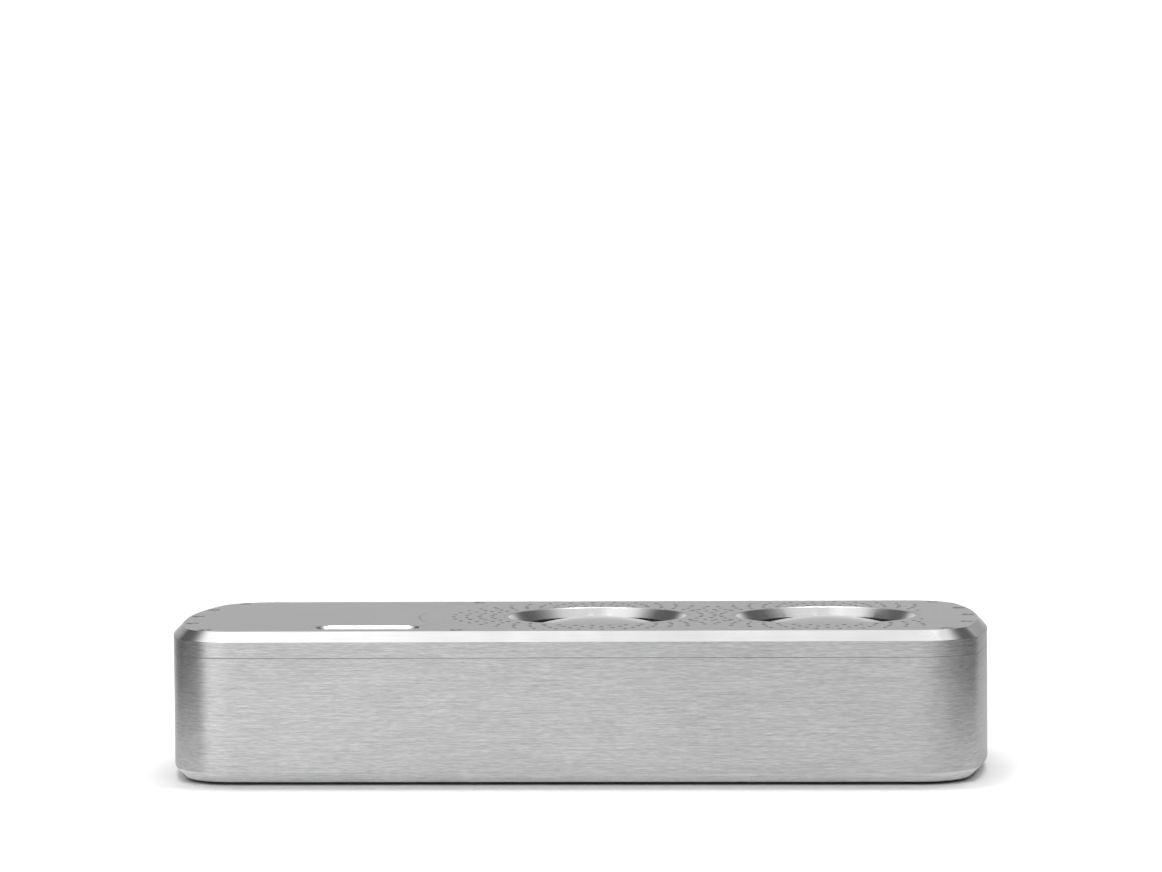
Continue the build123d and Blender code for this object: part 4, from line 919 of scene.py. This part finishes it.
make_lid()
make_tub()
for driver_side, driver_centre in DRIVERS.items():
    make_trim_ring(driver_side, driver_centre)
    make_dome(driver_side, driver_centre)
    make_surround(driver_side, driver_centre)
make_well()
for key_name, key_round_side in (("minus", -1), ("play", 0), ("plus", 1)):
    make_key(key_name, key_round_side)
make_bezel()
make_insulator("left", WHITE_INSERT)
make_insulator("right", RED_INSERT)
make_contacts()

# ---- materials of the CAD nodes that stay -------------------------------------------
SLOT_MATERIALS = {
    "brushed_case": BRUSHED,
    "satin_lid": SATIN,
    "bright_trim": TURNED,
    "dome": DOME,
    "plate_steel": moulding("plate_coat", (0.03, 0.03, 0.032), 0.5, 1500, 0.3),
    "screws": SCREW_METAL,
    "rubber": RUBBER,
    "foam": moulding("foam_black", (0.02, 0.02, 0.02), 0.9, 1400, 0.8),
    "silicone": moulding("silicone_grey", (0.42, 0.42, 0.43), 0.45, 1800, 0.15),
    "dust_mesh": SCREEN_MESH,
    "box_plastic": moulding("box_moulding", (0.018, 0.018, 0.02), 0.55, 1600, 0.3),
    "baffle_board": moulding("fibreboard", (0.30, 0.21, 0.13), 0.8, 900, 0.5),
    "basket_steel": moulding("basket_coat", (0.015, 0.015, 0.017), 0.35, 1500, 0.2),
    "motor_steel": satin_metal("zinc_plate", 0.55, 0.32, 0.9),
    "ferrite": moulding("ferrite_grey", (0.04, 0.04, 0.042), 0.6, 1200, 0.4),
    "coil_copper": moulding("copper_wire", (0.72, 0.36, 0.20), 0.35, 2400, 0.5, 1.0),
    "spider_cloth": moulding("spider_weave", (0.50, 0.33, 0.13), 0.8, 1100, 0.8),
    "keys": KEY_METAL,
    "circuit_board": moulding("solder_mask", (0.01, 0.10, 0.045), 0.3, 500, 0.2),
    "chip": moulding("chip_epoxy", (0.015, 0.015, 0.016), 0.45, 2600, 0.2),
    "heat_sink": satin_metal("heat_sink_grey", 0.22, 0.42, 0.9),
    "transformer": moulding("winding_tape", (0.62, 0.45, 0.08), 0.4, 700, 0.2),
    "capacitor_sleeve": moulding("sleeve_blue", (0.02, 0.03, 0.09), 0.25, 500, 0.1),
    "lead": moulding("lead_red", (0.42, 0.02, 0.02), 0.4, 900, 0.1),
    "bay_plastic": BLACK_PLASTIC,
    "rocker": moulding("rocker_gloss", (0.010, 0.010, 0.011), 0.22, 1200, 0.1),
    "pins": satin_metal("nickel_pin", 0.70, 0.24, 1.0),
    "gold_jack": GOLD,
    "network_shell": satin_metal("tinned_steel", 0.60, 0.32, 0.9),
    "pair_key": moulding("pair_grey", (0.35, 0.35, 0.36), 0.45, 1800, 0.2),
    "light_guide": clear_plastic("clear_acrylic"),
}
for part in frame["record"]["subparts"]:
    node = frame["nodes"][part["node"]]
    material = SLOT_MATERIALS[part["material_slot"]]
    for slot in node.material_slots:
        slot.material = material

# ---- stage, light and camera --------------------------------------------------------
KEY_LIGHT, RIM_LIGHT = 0.9, 19.0
OVERHEAD_LEFT, OVERHEAD_RIGHT = 1.0, 0.71
BACK_LIGHT, BACK_SIDE_LIGHT = 0.40, 0.32
BACK_GAP = 0.4
FRONT_LEFT, FRONT_RIGHT = 1.3, 0.1
AMBIENT = 0.14
BACKDROP = 1.2
FLOOR_LEFT, FLOOR_RIGHT, FLOOR_HALF_Y = 0.40, 0.40, 2.5


def make_floor():
    bm = bmesh.new()
    x0, x1, y = -FLOOR_LEFT, FLOOR_RIGHT, FLOOR_HALF_Y
    bm.faces.new([bm.verts.new((px, py, 0)) for px, py in ((x0, -y), (x1, -y), (x1, y), (x0, y))])
    floor = finish_mesh("floor", bm)
    m = Shader("floor_white", (0.86, 0.86, 0.86), 0.0, 0.9)
    paper = m.noise((300, 300, 300), 3.0, 0.6)
    m.tint(m.spread(paper, 0, 1), (0.855, 0.855, 0.855), (0.865, 0.865, 0.865))
    paint(floor, m.material)


def make_world():
    """A studio of soft panels; the camera itself sees plain white behind the object.

    The panels are functions of direction: across is +X, along is away from the camera.
    """
    world = bpy.data.worlds.new("studio")
    bpy.context.scene.world = world
    world.use_nodes = True
    nodes, links = world.node_tree.nodes, world.node_tree.links
    nodes.clear()
    direction = nodes.new("ShaderNodeTexCoord").outputs["Generated"]
    split = nodes.new("ShaderNodeSeparateXYZ")
    links.new(direction, split.inputs["Vector"])
    across, along, height = split.outputs

    def combine(operation, a, b):
        node = nodes.new("ShaderNodeMath")
        node.operation = operation
        for socket, value in zip(node.inputs, (a, b)):
            if isinstance(value, (int, float)):
                socket.default_value = value
            else:
                links.new(value, socket)
        return node.outputs["Value"]

    def step(value, none, full, low=0.0, high=1.0):
        node = nodes.new("ShaderNodeMapRange")
        node.interpolation_type = "SMOOTHSTEP"
        flip = none > full
        node.inputs["From Min"].default_value = min(none, full)
        node.inputs["From Max"].default_value = max(none, full)
        node.inputs["To Min"].default_value = high if flip else low
        node.inputs["To Max"].default_value = low if flip else high
        links.new(value, node.inputs["Value"])
        return node.outputs["Result"]

    def panel(*factors):
        total = factors[0]
        for factor in factors[1:]:
            total = combine("MULTIPLY", total, factor)
        return total

    aside = combine("ABSOLUTE", across, 0)
    overhead = panel(
        step(aside, 0.70, 0.50), step(along, 0.50, 0.16), step(along, -0.66, -0.38),
        step(across, -0.02, -0.17, OVERHEAD_RIGHT, OVERHEAD_LEFT),
    )
    key = panel(step(along, -0.36, -0.50), step(height, 0.42, 0.56), step(aside, 0.90, 0.6))
    rim = panel(step(along, 0.03, 0.13), step(height, 0.91, 0.97), step(aside, 0.42, 0.28))
    gap = panel(step(height, 0.16, 0.22), step(height, 0.34, 0.29), step(aside, 0.36, 0.26))
    lit = combine("SUBTRACT", 1.0, combine("MULTIPLY", gap, BACK_GAP))
    back = panel(step(along, 0.50, 0.78), step(aside, 0.60, 0.32), step(height, 0.66, 0.50), lit)
    back_sides = panel(step(along, 0.50, 0.90), step(height, 0.45, 0.22), lit)
    front = panel(step(along, -0.40, -0.68), step(height, 0.36, 0.20),
                  step(across, 0.02, -0.20, FRONT_RIGHT, FRONT_LEFT))
    total = combine("MULTIPLY", key, KEY_LIGHT)
    for light in (overhead, combine("MULTIPLY", rim, RIM_LIGHT),
                  combine("MULTIPLY", back, BACK_LIGHT),
                  combine("MULTIPLY", back_sides, BACK_SIDE_LIGHT), front):
        total = combine("ADD", total, light)
    total = combine("ADD", total, AMBIENT)
    studio = nodes.new("ShaderNodeBackground")
    studio.inputs["Color"].default_value = (1, 1, 1, 1)
    links.new(total, studio.inputs["Strength"])
    backdrop = nodes.new("ShaderNodeBackground")
    backdrop.inputs["Color"].default_value = (1, 1, 1, 1)
    backdrop.inputs["Strength"].default_value = BACKDROP
    choose = nodes.new("ShaderNodeMixShader")
    path = nodes.new("ShaderNodeLightPath")
    links.new(path.outputs["Is Camera Ray"], choose.inputs["Fac"])
    links.new(studio.outputs["Background"], choose.inputs[1])
    links.new(backdrop.outputs["Background"], choose.inputs[2])
    output = nodes.new("ShaderNodeOutputWorld")
    links.new(choose.outputs["Shader"], output.inputs["Surface"])


CAMERA_PLACE = Vector((90.55, -1800.27, 238.79)) * MM
CAMERA_YAW, CAMERA_PITCH, CAMERA_ROLL = 0.0499, 0.0431, -0.0075
CAMERA_LENS, CAMERA_SENSOR = 112.97, 36.0


def make_camera():
    """A long lens a little to the right of the middle, turned left and looking down."""
    yaw, pitch, roll = CAMERA_YAW, CAMERA_PITCH, CAMERA_ROLL
    right = Vector((cos(yaw), sin(yaw), 0))
    up = Vector((-sin(yaw) * sin(pitch), cos(yaw) * sin(pitch), cos(pitch)))
    forward = Vector((-sin(yaw) * cos(pitch), cos(yaw) * cos(pitch), -sin(pitch)))
    across = right * cos(roll) + up * sin(roll)
    over = up * cos(roll) - right * sin(roll)
    lens = bpy.data.cameras.new("camera")
    lens.lens = CAMERA_LENS
    lens.sensor_width = CAMERA_SENSOR
    lens.clip_end = 60.0
    camera = bpy.data.objects.new("camera", lens)
    bpy.context.scene.collection.objects.link(camera)
    turn = Matrix((across, over, -forward)).transposed()
    camera.matrix_world = Matrix.Translation(CAMERA_PLACE + Vector((0, 0, BASE))) @ turn.to_4x4()
    bpy.context.scene.camera = camera


make_floor()
make_world()
make_camera()
bpy.context.scene.view_settings.view_transform = "Standard"
